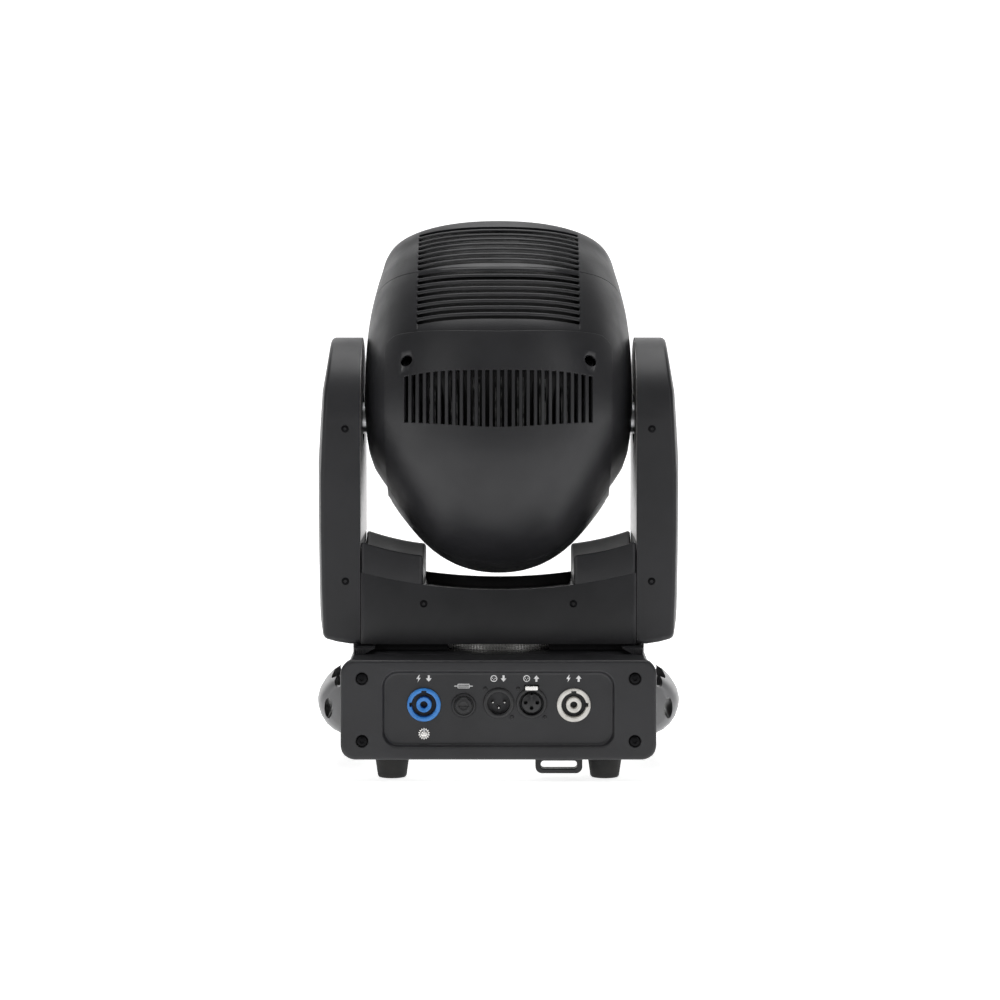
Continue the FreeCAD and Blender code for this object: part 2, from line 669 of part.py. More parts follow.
def head_section(height, half_w, half_d, power):
    """A closed superellipse, smooth, square to the lens axis."""
    points = []
    steps = 24
    for step in range(steps):
        angle = 2 * math.pi * step / steps
        c, s = math.cos(angle), math.sin(angle)
        scale = (abs(c) ** power + abs(s) ** power) ** (-1 / power)
        points.append(V(half_w * c * scale, half_d * s * scale, height))
    curve = Part.BSplineCurve()
    curve.interpolate(points, PeriodicFlag=True)
    return Part.Wire([curve.toShape()])


def head_solid(offset):
    """The whole outer form of the head, grown by offset."""
    sections = []
    for height, half_w, half_d, power in HEAD_STATIONS:
        grown = height
        if height == HEAD_STATIONS[-1][0]:
            grown = height - offset
        if height == HEAD_TOP:
            grown = height - offset
        sections.append(head_section(grown, half_w + offset, half_d + offset, power))
    return Part.makeLoft(sections, True, False)


def slab(z0, z1):
    return box(-200, 200, -200, 200, z0, z1)


def louvre_slots(first_z, pitch):
    slots = []
    for index in range(SLOTS_PER_GROUP):
        z = first_z + pitch * index
        slots.append(box(-SLOT_HALF_W, SLOT_HALF_W, -150, 150, z - SLOT_H / 2, z + SLOT_H / 2))
    return slots


def cap_slots():
    slots = []
    for index in range(CAP_SLOTS):
        x = (index - (CAP_SLOTS - 1) / 2) * CAP_SLOT_PITCH
        slots.append(box(x - CAP_SLOT_W / 2, x + CAP_SLOT_W / 2, -150, 150, CAP_SLOT_Z0, CAP_SLOT_Z1))
    return slots


def head_shapes():
    """The outer shells of the head, upright about the tilt axis."""
    outer = head_solid(0)
    inner = head_solid(-HEAD_WALL)
    shell = outer.cut(inner)
    axle_holes = rod(AXLE_R + 0.2, (-130, 0, 0), (130, 0, 0))
    shapes = {}
    crown = shell.common(slab(CROWN_SEAM + 0.15, HEAD_TOP - 0.0))
    shapes["head_crown"] = crown.cut(louvre_slots(*CROWN_SLOTS))
    middle = shell.common(slab(CAP_SEAM + 0.15, CROWN_SEAM - 0.15)).cut(louvre_slots(*MID_SLOTS))
    shapes["head_shell_rear"] = middle.common(box(-200, 200, -200, -0.1, -200, 200))
    shapes["head_shell_front"] = middle.common(box(-200, 200, 0.1, 200, -200, 200))
    cap = shell.common(slab(-200, CAP_SEAM - 0.15))
    bosses = []
    sockets = []
    for side in (-1, 1):
        for x in (-CAP_SCREW_X, CAP_SCREW_X):
            z = CAP_SCREW_Z
            bosses.append(rod(6.5, (x, side * 86, z), (x, side * 96.5, z)))
            sockets.append(rod(4.3, (x, side * CAP_SCREW_Y, z), (x, side * 130, z)))
            sockets.append(rod(1.8, (x, side * 80, z), (x, side * 130, z)))
    cap = union([cap] + bosses)
    shapes["tail_cap"] = cap.cut(cap_slots() + [axle_holes] + sockets)
    return shapes


def lens_bezel():
    return ring(83.0, LENS_R + 0.2, (0, 0, 112), (0, 0, 121))


def front_lens():
    """A thick plano-convex front lens."""
    height, sagitta = 6.0, 8.0
    radius = (LENS_R ** 2 + sagitta ** 2) / (2 * sagitta)
    disc = rod(LENS_R, (0, 0, 106), (0, 0, 106 + height))
    ball = Part.makeSphere(radius, V(0, 0, 106 + height + sagitta - radius))
    dome = ball.common(rod(LENS_R, (0, 0, 106 + height), (0, 0, 130)))
    return union([disc, dome])


def chassis_side():
    """The steel plate inside the head that carries the right-hand axle."""
    plate = box(CHASSIS_HALF_W, CHASSIS_HALF_W + SHEET, -34, 34, -30, 88)
    return plate.cut(rod(AXLE_R, (0, 0, 0), (200, 0, 0)))


def chassis_decks():
    """The decks across the head that hold the optics."""
    decks = []
    for z in (2.0, 90.0):
        deck = box(-CHASSIS_HALF_W, CHASSIS_HALF_W, -52, 52, z, z + SHEET)
        opening_r = 24.0
        if z > 50:
            disc = rod(80, (0, 0, z), (0, 0, z + SHEET))
            deck = union([deck, disc]).common(box(-CHASSIS_HALF_W, CHASSIS_HALF_W, -100, 100, z, z + SHEET))
            opening_r = 66.0
        decks.append(deck.cut(rod(opening_r, (0, 0, z - 1), (0, 0, z + 3))))
    return decks


def heatsink():
    base = box(-46, 46, -46, 46, -22, -16)
    fins = []
    count = 13
    for index in range(count):
        x = -46 + index * (92 - 2) / (count - 1)
        depth = 60
        fins.append(box(x, x + 2, -40, 40, -depth, -22))
    return union([base] + fins)


def led_engine():
    board = box(-32, 32, -32, 32, -16, -13)
    emitter = rod(11, (0, 0, -13), (0, 0, -11))
    collimator = Part.makeCone(11, 20, 11, V(0, 0, -11), V(0, 0, 1))
    return union([board, emitter, collimator])


def fan_frame():
    frame = box(-35, 35, -35, 35, -82, -64)
    return frame.cut(rod(32.5, (0, 0, -90), (0, 0, -60)))


def fan_bridge():
    hub = rod(10, (0, 0, -84.5), (0, 0, -82.2))
    arms = []
    for angle in (45, 135, 225, 315):
        arm = box(0, 46, -1.5, 1.5, -84.5, -82.0)
        arm.rotate(V(0, 0, 0), V(0, 0, 1), angle)
        arms.append(arm)
    return union([hub] + arms)


def fan_rotor():
    hub = rod(12, (0, 0, -81.5), (0, 0, -66))
    blades = []
    for index in range(7):
        blade = box(10, 31.5, -1.0, 1.0, -80, -67)
        blade.rotate(V(20, 0, -73), V(1, 0, 0), 32)
        blade.rotate(V(0, 0, 0), V(0, 0, 1), index * 360 / 7)
        blades.append(blade)
    return union([hub] + blades)


def filter_wheel(z, side, hole_r, holes):
    """A wheel beside the optical axis with a ring of windows over it."""
    centre_y = side * WHEEL_OFFSET
    wheel = ring(WHEEL_R, 2.5 + FIT, (0, centre_y, z), (0, centre_y, z + 1.5))
    hub = ring(7, 2.5 + FIT, (0, centre_y, z + 1.5), (0, centre_y, z + 4))
    wheel = union([wheel, hub])
    cuts = []
    for index in range(holes):
        angle = 2 * math.pi * index / holes - side * math.pi / 2
        cx = WHEEL_OFFSET * math.cos(angle)
        cy = centre_y + WHEEL_OFFSET * math.sin(angle)
        cuts.append(rod(hole_r, (cx, cy, z - 1), (cx, cy, z + 3)))
    return wheel.cut(cuts)


def wheel_motor(z, side):
    """The wheel's motor hangs on a bracket above the wheel, with its shaft down through the hub."""
    centre_y = side * WHEEL_OFFSET
    can = rod(10, (0, centre_y, z + 6), (0, centre_y, z + 18))
    shaft = rod(2.5, (0, centre_y, z - 1.5), (0, centre_y, z + 6))
    return union([can, shaft])


def lens_carriage(z, hole_r):
    """A sliding plate on the two guide rods, with a lens held in its middle."""
    plate = box(-ROD_X - 7, ROD_X + 7, -12, 12, z, z + 4)
    hoop = rod(hole_r + 5, (0, 0, z), (0, 0, z + 4))
    cuts = [rod(hole_r, (0, 0, z - 1), (0, 0, z + 5))]
    for x in (-ROD_X, ROD_X):
        cuts.append(rod(3.0 + FIT, (x, 0, z - 1), (x, 0, z + 5)))
    return union([plate, hoop]).cut(cuts)


def carriage_lens(z, radius):
    sphere_r = radius * 1.6
    dz = math.sqrt(sphere_r ** 2 - radius ** 2)
    upper = Part.makeSphere(sphere_r, V(0, 0, z + 2 - dz + 1))
    lower = Part.makeSphere(sphere_r, V(0, 0, z + 2 + dz - 1))
    lens = upper.common(lower)
    return lens.common(rod(radius, (0, 0, z - 20), (0, 0, z + 20)))


def guide_rods():
    rods = []
    for x in (-ROD_X, ROD_X):
        rods.append(rod(3.0, (x, 0, 4), (x, 0, 90)))
    return group(rods)


def tilt_axle():
    return ring(AXLE_R, AXLE_R - 4, (CHASSIS_HALF_W, 0, 0), (124, 0, 0))


def tilt_pulley():
    return ring(TILT_PULLEY_R, AXLE_R, (-116, 0, 0), (-123.5, 0, 0))


def cap_screws():
    screws = []
    for side in (-1, 1):
        for x in (-CAP_SCREW_X, CAP_SCREW_X):
            screws.append(screw_head(3.6, x, side * CAP_SCREW_Y, CAP_SCREW_Z, -side, 8, 2.0))
    return group(screws)


# --- build --------------------------------------------------------------------------------


def lean_head(shape):
    """Turn an upright head part to the parked angle and lift it to the tilt axis."""
    moved = shape.copy()
    moved.rotate(V(0, 0, 0), V(1, 0, 0), -PARK_ANGLE)
    moved.translate(V(0, 0, TILT_Z))
    return moved


def base_parts():
    parts = {
        "base_cover": base_cover(),
        "base_chassis": group([base_plate(), chassis_deck()]),
        "rear_panel": rear_panel(),
        "front_panel": front_panel(),
        "display_window": display_window(),
        "display_board": display_board(),
        "safety_anchor": safety_anchor(),
        "feet": feet(),
        "handles": group([handle(), mirrored_x(handle())]),
        "pan_bearing": pan_bearing(),
        "pan_ring": pan_ring(),
        "power_supply": power_supply(),
        "power_inlet": power_socket(POWER_IN),
        "power_outlet": power_socket(POWER_OUT),
        "fuse_holder": fuse_holder(),
        "data_input": data_input(),
        "data_output": data_output(),
        "data_latch": data_latch(),
        "ground_screw": ground_screw(),
        "end_plate_screws": end_plate_screws(),
    }
    for name in BUTTON_PLACES:
        parts[name + "_button"] = button(name)
    return parts


def yoke_parts():
    return {
        "arm_cover_right": arm_cover(),
        "arm_cover_left": mirrored_x(arm_cover()),
        "arm_inner_covers": group([arm_inner_cover(), mirrored_x(arm_inner_cover())]),
        "arm_plates": group([arm_plate(), mirrored_x(arm_plate())]),
        "crossbar_cover_rear": crossbar_cover(),
        "crossbar_cover_front": mirrored_y(crossbar_cover()),
        "yoke_frame": yoke_frame(),
        "pan_spindle": pan_spindle(),
        "pan_motor": pan_motor(),
        "pan_motor_pulley": pan_motor_pulley(),
        "pan_belt": pan_belt(),
        "tilt_motor": tilt_motor(),
        "tilt_motor_pulley": tilt_motor_pulley(),
        "tilt_belt": tilt_belt(),
        "tilt_bearings": group([tilt_bearing(), mirrored_x(tilt_bearing())]),
        "yoke_screws": yoke_screws(),
    }


def head_parts():
    shapes = head_shapes()
    shapes.update({
        "lens_bezel": lens_bezel(),
        "front_lens": front_lens(),
        "head_chassis": group([chassis_side(), mirrored_x(chassis_side())] + chassis_decks()),
        "heatsink": heatsink(),
        "led_engine": led_engine(),
        "fan_frame": group([fan_frame(), fan_bridge()]),
        "fan_rotor": fan_rotor(),
        "colour_wheel": filter_wheel(COLOUR_WHEEL_Z, 1, 8.0, 7),
        "gobo_wheel": filter_wheel(GOBO_WHEEL_Z, -1, 7.0, 7),
        "wheel_motors": group([wheel_motor(COLOUR_WHEEL_Z, 1), wheel_motor(GOBO_WHEEL_Z, -1)]),
        "focus_carriage": lens_carriage(FOCUS_Z, 22.0),
        "focus_lens": carriage_lens(FOCUS_Z, 21.8),
        "guide_rods": guide_rods(),
        "tilt_axles": group([tilt_axle(), mirrored_x(tilt_axle())]),
        "tilt_pulley": tilt_pulley(),
        "cap_screws": cap_screws(),
    })
    return {name: lean_head(shape) for name, shape in shapes.items()}


def main():
    os.makedirs("parts", exist_ok=True)
    parts = base_parts()
    parts.update(yoke_parts())
    parts.update(head_parts())
    for name, shape in parts.items():
        if not shape.isValid():
            print("invalid shape:", name)
        shape.exportStep("parts/" + name + ".step")
    print(len(parts), "nodes written")


main()
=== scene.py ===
"""Looks for the moving head light: shells, panels, connectors, materials, light and camera."""

import math

import bmesh
import bpy
from mathutils import Matrix, Vector
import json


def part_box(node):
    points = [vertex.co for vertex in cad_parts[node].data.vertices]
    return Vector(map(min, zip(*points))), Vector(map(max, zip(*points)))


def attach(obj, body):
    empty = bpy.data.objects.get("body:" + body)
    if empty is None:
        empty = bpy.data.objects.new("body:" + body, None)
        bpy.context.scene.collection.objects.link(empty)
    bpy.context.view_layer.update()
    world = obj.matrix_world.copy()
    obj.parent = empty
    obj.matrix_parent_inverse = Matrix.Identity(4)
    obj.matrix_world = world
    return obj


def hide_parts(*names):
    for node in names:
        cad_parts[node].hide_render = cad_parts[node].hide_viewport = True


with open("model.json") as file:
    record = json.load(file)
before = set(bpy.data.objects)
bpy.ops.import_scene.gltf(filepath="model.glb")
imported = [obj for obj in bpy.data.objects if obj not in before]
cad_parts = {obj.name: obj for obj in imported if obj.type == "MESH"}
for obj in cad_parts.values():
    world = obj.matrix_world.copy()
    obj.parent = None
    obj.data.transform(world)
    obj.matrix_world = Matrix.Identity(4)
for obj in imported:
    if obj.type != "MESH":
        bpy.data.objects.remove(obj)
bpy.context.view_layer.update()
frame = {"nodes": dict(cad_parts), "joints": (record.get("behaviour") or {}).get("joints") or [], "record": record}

MM = 0.001

# --- places read from the CAD frame ---------------------------------------------------------

JOINTS = {entry["name"]: entry for entry in frame["joints"]}
TILT = Vector(JOINTS["tilt"]["pos_m"])
LENS_AXIS = Vector(JOINTS["focus_travel"]["axis"]).normalized()
LEAN = math.atan2(LENS_AXIS.y, LENS_AXIS.z)
HEAD_FRAME = Matrix.Translation(TILT) @ Matrix.Rotation(-LEAN, 4, "X")

PANEL_LOW, PANEL_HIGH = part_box("rear_panel")
ARM_LOW, ARM_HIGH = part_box("arm_cover_right")
BAR_LOW, BAR_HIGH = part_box("crossbar_cover_rear")
FLOOR_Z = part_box("feet")[0].z

# --- small helpers --------------------------------------------------------------------------


def add_object(name, data):
    obj = bpy.data.objects.new(name, data)
    bpy.context.scene.collection.objects.link(obj)
    return obj


def shade(angle, *objects):
    """Shade smooth, with the edges above an angle kept sharp."""
    for obj in objects:
        obj.data.polygons.foreach_set("use_smooth", [True] * len(obj.data.polygons))
        obj.data.set_sharp_from_angle(angle=math.radians(angle))


def object_from(work, name, angle=35.0):
    """Turn a bmesh's faces outwards and make a smooth object of it."""
    bmesh.ops.recalc_face_normals(work, faces=work.faces)
    mesh = bpy.data.meshes.new(name)
    work.to_mesh(mesh)
    work.free()
    obj = add_object(name, mesh)
    shade(angle, obj)
    return obj


def skin(work, rings):
    """Faces from each closed ring of vertices to the next."""
    count = len(rings[0])
    for lower, upper in zip(rings, rings[1:]):
        for step in range(count):
            following = (step + 1) % count
            work.faces.new((lower[step], lower[following], upper[following], upper[step]))


def applied(obj):
    """The object's mesh with its modifiers applied."""
    bpy.context.view_layer.update()
    graph = bpy.context.evaluated_depsgraph_get()
    return bpy.data.meshes.new_from_object(obj.evaluated_get(graph))


def bevel(obj, width, segments=3, angle=30.0):
    modifier = obj.modifiers.new("bevel", "BEVEL")
    modifier.width = width
    modifier.segments = segments
    modifier.limit_method = "ANGLE"
    modifier.angle_limit = math.radians(angle)
    modifier.use_clamp_overlap = True
    modifier.harden_normals = True
    return obj


def finish_piece(obj, body, slot, *replaced, material=None):
    """Give a piece its material, apply its modifiers, and hang it on its body."""
    obj.data.materials.clear()
    obj.data.materials.append(material or MAT[slot])
    if obj.modifiers:
        made = applied(obj)
        obj.modifiers.clear()
        obj.data = made
    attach(obj, body)
    if replaced:
        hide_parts(*replaced)
    return obj


def join(objects, name):
    """Join several meshes, with their modifiers applied, into one object."""
    work = bmesh.new()
    for obj in objects:
        piece = applied(obj)
        piece.transform(obj.matrix_world)
        work.from_mesh(piece)
    mesh = bpy.data.meshes.new(name)
    work.to_mesh(mesh)
    work.free()
    for obj in objects:
        bpy.data.objects.remove(obj)
    return add_object(name, mesh)


def lathe(profile, name, steps=64, closed=False):
    """Turn (radius, height) points in mm about +Z; a radius of 0 closes on the axis."""
    work = bmesh.new()
    rings = []
    for radius, height in profile:
        if radius == 0:
            rings.append([work.verts.new((0, 0, height * MM))])
            continue
        ring = []
        for step in range(steps):
            angle = 2 * math.pi * step / steps
            x, y = radius * MM * math.cos(angle), radius * MM * math.sin(angle)
            ring.append(work.verts.new((x, y, height * MM)))
        rings.append(ring)
    pairs = list(zip(rings, rings[1:]))
    if closed:
        pairs.append((rings[-1], rings[0]))
    for lower, upper in pairs:
        for step in range(steps):
            following = (step + 1) % steps
            corners = []
            for ring, index in ((lower, step), (lower, following), (upper, following), (upper, step)):
                vert = ring[index] if len(ring) > 1 else ring[0]
                if vert not in corners:
                    corners.append(vert)
            if len(corners) > 2:
                work.faces.new(corners)
    return object_from(work, name)


def prism(outline, low, high, name, axis="Y"):
    """Extrude a closed outline in mm: (x, z) points along Y, (y, z) along X or (x, y) along Z."""
    place = {"X": lambda p, q, level: (level, p, q), "Y": lambda p, q, level: (p, level, q),
             "Z": lambda p, q, level: (p, q, level)}[axis]
    work = bmesh.new()
    rings = []
    for level in (low, high):
        rings.append([work.verts.new(place(p * MM, q * MM, level * MM)) for p, q in outline])
    work.faces.new(rings[0])
    work.faces.new(rings[1][::-1])
    skin(work, rings)
    return object_from(work, name)


def arc(centre, radius, start, turn, steps):
    """Points along an arc from a start angle through a turn, both in degrees."""
    points = []
    for step in range(steps + 1):
        angle = math.radians(start + turn * step / steps)
        points.append((centre[0] + radius * math.cos(angle), centre[1] + radius * math.sin(angle)))
    return points


def rounded_outline(half_w, low, high, radius, steps=8, centre=0.0):
    points = []
    for side, edge, start in ((1, high, 0), (-1, high, 90), (-1, low, 180), (1, low, 270)):
        corner_z = edge - radius if edge == high else edge + radius
        points += arc((centre + side * (half_w - radius), corner_z), radius, start, 90, steps)
    return points


def cut(target, others, operation="DIFFERENCE"):
    """Cut the others from the target, or add them to it, and remove them."""
    for other in others:
        modifier = target.modifiers.new("cut", "BOOLEAN")
        modifier.operation = operation
        modifier.solver = "EXACT"
        modifier.object = other
        made = applied(target)
        target.modifiers.clear()
        target.data = made
        bpy.data.objects.remove(other)
    return target


def round_cutter(radius, place, low, high, steps=48):
    """A cylinder along Y to cut with."""
    return prism(arc(place, radius, 0, 360, steps)[:-1], low, high, "cutter")


def box_cutter(low, high):
    outline = ((low[0], low[2]), (high[0], low[2]), (high[0], high[2]), (low[0], high[2]))
    return prism(outline, low[1], high[1], "cutter")


def loop_points(centre, half_w, half_h, steps):
    """A closed oval of points."""
    angles = [2 * math.pi * step / steps for step in range(steps)]
    return [(centre[0] + half_w * math.cos(a), centre[1] + half_h * math.sin(a)) for a in angles]


def spread(low, high, count):
    return [low + (high - low) * k / count for k in range(count + 1)]


def aim_y(obj, place, direction=-1):
    """Stand a part made along +Z at a place, with its +Z along -Y or +Y."""
    turn = Matrix.Rotation(math.radians(90 if direction < 0 else -90), 4, "X")
    obj.data.transform(Matrix.Translation(place) @ turn)
    return obj


# --- materials ------------------------------------------------------------------------------


class Shader:
    """A Principled material with object-space coordinates to hang detail on."""

    def __init__(self, name, **values):
        self.material = bpy.data.materials.new(name)
        self.material.use_nodes = True
        self.tree = self.material.node_tree
        self.nodes = self.tree.nodes
        self.links = self.tree.links
        self.bsdf = self.nodes["Principled BSDF"]
        for key, value in values.items():
            self.bsdf.inputs[key.replace("_", " ")].default_value = value
        self.coords = self.nodes.new("ShaderNodeTexCoord").outputs["Object"]

    def noise(self, scale, detail=3.0, roughness=0.55, stretch=None):
        vector = self.coords
        if stretch:
            mapping = self.nodes.new("ShaderNodeMapping")
            mapping.inputs["Scale"].default_value = stretch
            self.links.new(vector, mapping.inputs["Vector"])
            vector = mapping.outputs["Vector"]
        node = self.nodes.new("ShaderNodeTexNoise")
        node.inputs["Scale"].default_value = scale
        node.inputs["Detail"].default_value = detail
        node.inputs["Roughness"].default_value = roughness
        self.links.new(vector, node.inputs["Vector"])
        return node.outputs["Fac"]

    def remap(self, value, low, high, start=0.3, end=0.7):
        node = self.nodes.new("ShaderNodeMapRange")
        node.inputs["From Min"].default_value = start
        node.inputs["From Max"].default_value = end
        node.inputs["To Min"].default_value = low
        node.inputs["To Max"].default_value = high
        self.links.new(value, node.inputs["Value"])
        return node.outputs["Result"]

    def roughness(self, value, low, high):
        self.links.new(self.remap(value, low, high), self.bsdf.inputs["Roughness"])

    def colours(self, value, first, second, start=0.35, end=0.65):
        ramp = self.nodes.new("ShaderNodeValToRGB")
        ramp.color_ramp.elements[0].position = start
        ramp.color_ramp.elements[0].color = (*first, 1)
        ramp.color_ramp.elements[1].position = end
        ramp.color_ramp.elements[1].color = (*second, 1)
        self.links.new(value, ramp.inputs["Fac"])
        return ramp.outputs["Color"]

    def base(self, colour):
        self.links.new(colour, self.bsdf.inputs["Base Color"])

    def bump(self, height, strength, distance):
        node = self.nodes.new("ShaderNodeBump")
        node.inputs["Strength"].default_value = strength
        node.inputs["Distance"].default_value = distance
        self.links.new(height, node.inputs["Height"])
        self.links.new(node.outputs["Normal"], self.bsdf.inputs["Normal"])

    def worn_edges(self, colour, worn, start=0.58, end=0.72):
        """Lighten the colour along convex edges, where handling polishes them."""
        geometry = self.nodes.new("ShaderNodeNewGeometry")
        wear = self.remap(geometry.outputs["Pointiness"], 0.0, 1.0, start, end)
        patches = self.remap(self.noise(90.0, 4.0), 0.0, 1.0, 0.42, 0.62)
        amount = self.nodes.new("ShaderNodeMath")
        amount.operation = "MULTIPLY"
        self.links.new(wear, amount.inputs[0])
        self.links.new(patches, amount.inputs[1])
        mix = self.nodes.new("ShaderNodeMix")
        mix.data_type = "RGBA"
        self.links.new(amount.outputs[0], mix.inputs["Factor"])
        self.links.new(colour, mix.inputs["A"])
        mix.inputs["B"].default_value = (*worn, 1)
        return mix.outputs["Result"]


def surface(name, tone, rough, grain, worn=None, **values):
    """A material whose tone, roughness and fine grain each follow a noise of their own.

    tone: noise scale, detail, dark and light colour; rough: noise scale, detail, lowest and highest;
    grain: noise scale, detail, strength and depth; worn: the colour that edges are polished to.
    """
    shader = Shader(name, **values)
    scale, detail, dark, light, *limits = tone
    colour = shader.colours(shader.noise(scale, detail), dark, light, *limits)
    shader.base(shader.worn_edges(colour, worn) if worn else colour)
    scale, detail, lowest, highest = rough
    shader.roughness(shader.noise(scale, detail), lowest, highest)
    scale, detail, strength, depth, *rest = grain
    shader.bump(shader.noise(scale, detail, *rest), strength, depth)
    return shader.material


def grey(value, blue=0.0):
    return (value, value, value + blue)


def moulded_plastic(name, dark, light, rough=(0.38, 0.5)):
    """Satin moulding with a fine spark-eroded grain, faint mottling and polished edges."""
    worn = tuple(min(1.0, c * 1.4) for c in light)
    grain = (2600.0, 2.0, 0.35, 0.00006, 0.6)
    return surface(name, (14.0, 5.0, dark, light), (45.0, 4.0, *rough), grain, worn)


def rough_paint(name, dark, light):
    """Powder coat: orange peel over a fine speckle."""
    grain = (900.0, 3.0, 0.4, 0.00012)
    return surface(name, (30.0, 5.0, dark, light), (70.0, 3.0, 0.4, 0.55), grain, grey(0.2))


def metal(name, colour, rough=(0.22, 0.4)):
    """Turned or brushed metal with drawn-out scratches."""
    shader = Shader(name, Metallic=1.0)
    darker = tuple(c * 0.82 for c in colour)
    shader.base(shader.colours(shader.noise(18.0, 4.0), darker, colour))
    scratches = shader.noise(30.0, 5.0, 0.7, stretch=(1, 1, 40))
    shader.roughness(scratches, *rough)
    shader.bump(scratches, 0.15, 0.00005)
    return shader.material


def rubber(name):
    tone = (60.0, 6.0, grey(0.012), (0.026, 0.025, 0.024))
    return surface(name, tone, (120.0, 3.0, 0.62, 0.82), (1500.0, 3.0, 0.5, 0.0001), Specular_IOR_Level=0.35)


def connector_plastic(name, dark, light):
    tone = (60.0, 3.0, dark, light)
    return surface(name, tone, (140.0, 3.0, 0.28, 0.42), (1800.0, 3.0, 0.2, 0.00004), light, Coat_Weight=0.15)


MOULDED = {
    "black_plastic": (grey(0.013, 0.0018), grey(0.018, 0.0025)),
    "grip_plastic": (grey(0.22, 0.005), grey(0.27, 0.005), (0.30, 0.42)),
    "button_plastic": (grey(0.05, 0.002), grey(0.075, 0.003), (0.25, 0.35)),
    "connector_black": (grey(0.010, 0.001), grey(0.017, 0.001), (0.3, 0.42)),
}
PAINTED = {
    "black_paint": (grey(0.015, 0.001), grey(0.028, 0.002)),
    "motor_black": (grey(0.02), grey(0.04)),
    # lining_paint is near-black: painted shade, so the lining behind the head's slots reads as the shaded inside.
    "lining_paint": (grey(0.004), grey(0.009, 0.001)),
}
METALS = {
    # inner_cover_paint: the mid-grey metal is in part painted sheen, standing in for the bright grazing reflection
    # on the plates' satin paint.
    "inner_cover_paint": ((0.55, 0.54, 0.54), (0.34, 0.46)),
    "zinc_steel": ((0.62, 0.63, 0.62), (0.3, 0.5)),
    "bearing_steel": ((0.7, 0.7, 0.69), (0.15, 0.3)),
    "ribbed_metal": ((0.95, 0.94, 0.91), (0.2, 0.36)),
    "bright_metal": ((0.84, 0.83, 0.81), (0.14, 0.3)),
    "black_screw": (grey(0.014, 0.001), (0.3, 0.5)),
    "machined_aluminium": ((0.76, 0.77, 0.78), (0.25, 0.42)),
}
CONNECTORS = {
    "blue_connector": ((0.02, 0.17, 0.52), (0.04, 0.24, 0.66)),
    "white_connector": ((0.62, 0.60, 0.56), (0.80, 0.78, 0.74)),
}
SURFACES = {
    "display_glass": ((40.0, 3.0, (0.006, 0.008, 0.012), (0.012, 0.014, 0.02)), (90.0, 4.0, 0.06, 0.16),
                      (200.0, 3.0, 0.05, 0.00003)),
    "circuit_board": ((240.0, 2.0, (0.004, 0.05, 0.02), (0.02, 0.14, 0.05), 0.45, 0.55),
                      (200.0, 3.0, 0.3, 0.5), (700.0, 3.0, 0.3, 0.0001)),
    "print_white": ((300.0, 4.0, grey(0.7), grey(0.86)), (300.0, 3.0, 0.45, 0.6),
                    (1500.0, 3.0, 0.15, 0.00002)),
    "led_ceramic": ((90.0, 4.0, (0.72, 0.62, 0.3), (0.9, 0.86, 0.7)), (150.0, 3.0, 0.35, 0.55),
                    (800.0, 3.0, 0.2, 0.00006)),
    "lens_glass": ((20.0, 3.0, (0.93, 0.96, 0.97), (0.98, 0.99, 1.0)), (80.0, 4.0, 0.01, 0.05),
                   (60.0, 3.0, 0.02, 0.00005)),
}
SHINE = {
    "display_glass": {"Coat_Weight": 0.6},
    "circuit_board": {"Coat_Weight": 0.4},
    "lens_glass": {"Transmission_Weight": 1.0, "IOR": 1.5},
}
MAT = {name: rubber(name) for name in ("foot_rubber", "belt_rubber")}
for maker, slots in ((moulded_plastic, MOULDED), (rough_paint, PAINTED), (metal, METALS),
                     (connector_plastic, CONNECTORS)):
    MAT.update({name: maker(name, *values) for name, values in slots.items()})
MAT.update({name: surface(name, *values, **SHINE.get(name, {})) for name, values in SURFACES.items()})


def dress_cad_nodes():
    """Every CAD node shows its slot's procedural material."""
    for entry in frame["record"]["subparts"]:
        node = frame["nodes"][entry["node"]]
        material = MAT[entry["material_slot"]]
        if not node.material_slots:
            node.data.materials.append(material)
        for material_slot in node.material_slots:
            material_slot.material = material


# --- the head's outer form ------------------------------------------------------------------

# height along the lens axis, half width, half depth, exponent of the superellipse
HEAD_STATIONS = (
    (129.0, 87.0, 80.5, 2.2),
    (124.0, 89.3, 85.8, 2.2),
    (115.0, 91.5, 91.7, 2.2),
    (100.0, 95.0, 100.5, 2.3),
    (76.0, 99.5, 109.5, 2.4),
    (50.0, 102.0, 114.0, 2.5),
    (21.0, 102.8, 115.5, 2.6),
    (0.0, 102.4, 112.0, 2.65),
    (-25.0, 99.0, 106.0, 2.6),
    (-48.0, 88.0, 98.5, 2.5),
    (-71.0, 74.5, 86.5, 2.4),
    (-94.0, 57.5, 67.0, 2.2),
    (-108.0, 43.0, 47.0, 2.0),
    (-115.0, 29.0, 31.0, 2.0),
    (-118.5, 12.0, 13.0, 2.0),
)
CROWN_SEAM = 76.6
HEAD_TOP = 129.0
HEAD_FOOT = -118.5


def station_values(height):
    """Half width, half depth and exponent at a height, smoothly between the stations."""
    rows = HEAD_STATIONS[::-1]
    height = min(max(height, rows[0][0]), rows[-1][0])
    index = 0
    while index < len(rows) - 2 and height > rows[index + 1][0]:
        index += 1
    low, high = rows[index], rows[index + 1]
    before, after = rows[max(index - 1, 0)], rows[min(index + 2, len(rows) - 1)]
    span = high[0] - low[0]
    t = (height - low[0]) / span
    values = []
    for k in (1, 2, 3):
        slope_low = (high[k] - before[k]) / (high[0] - before[0]) * span
        slope_high = (after[k] - low[k]) / (after[0] - low[0]) * span
        t2, t3 = t * t, t * t * t
        values.append((2 * t3 - 3 * t2 + 1) * low[k] + (t3 - 2 * t2 + t) * slope_low
                      + (3 * t2 - 2 * t3) * high[k] + (t3 - t2) * slope_high)
    return values


def depth_at(x, height, offset=0.0):
    """Half depth of the head at a place across it, or None beyond its side."""
    half_w, half_d, power = station_values(height)
    half_w, half_d = half_w + offset, half_d + offset
    share = min(abs(x) / half_w, 1.0)
    return half_d * (1 - share ** power) ** (1 / power)


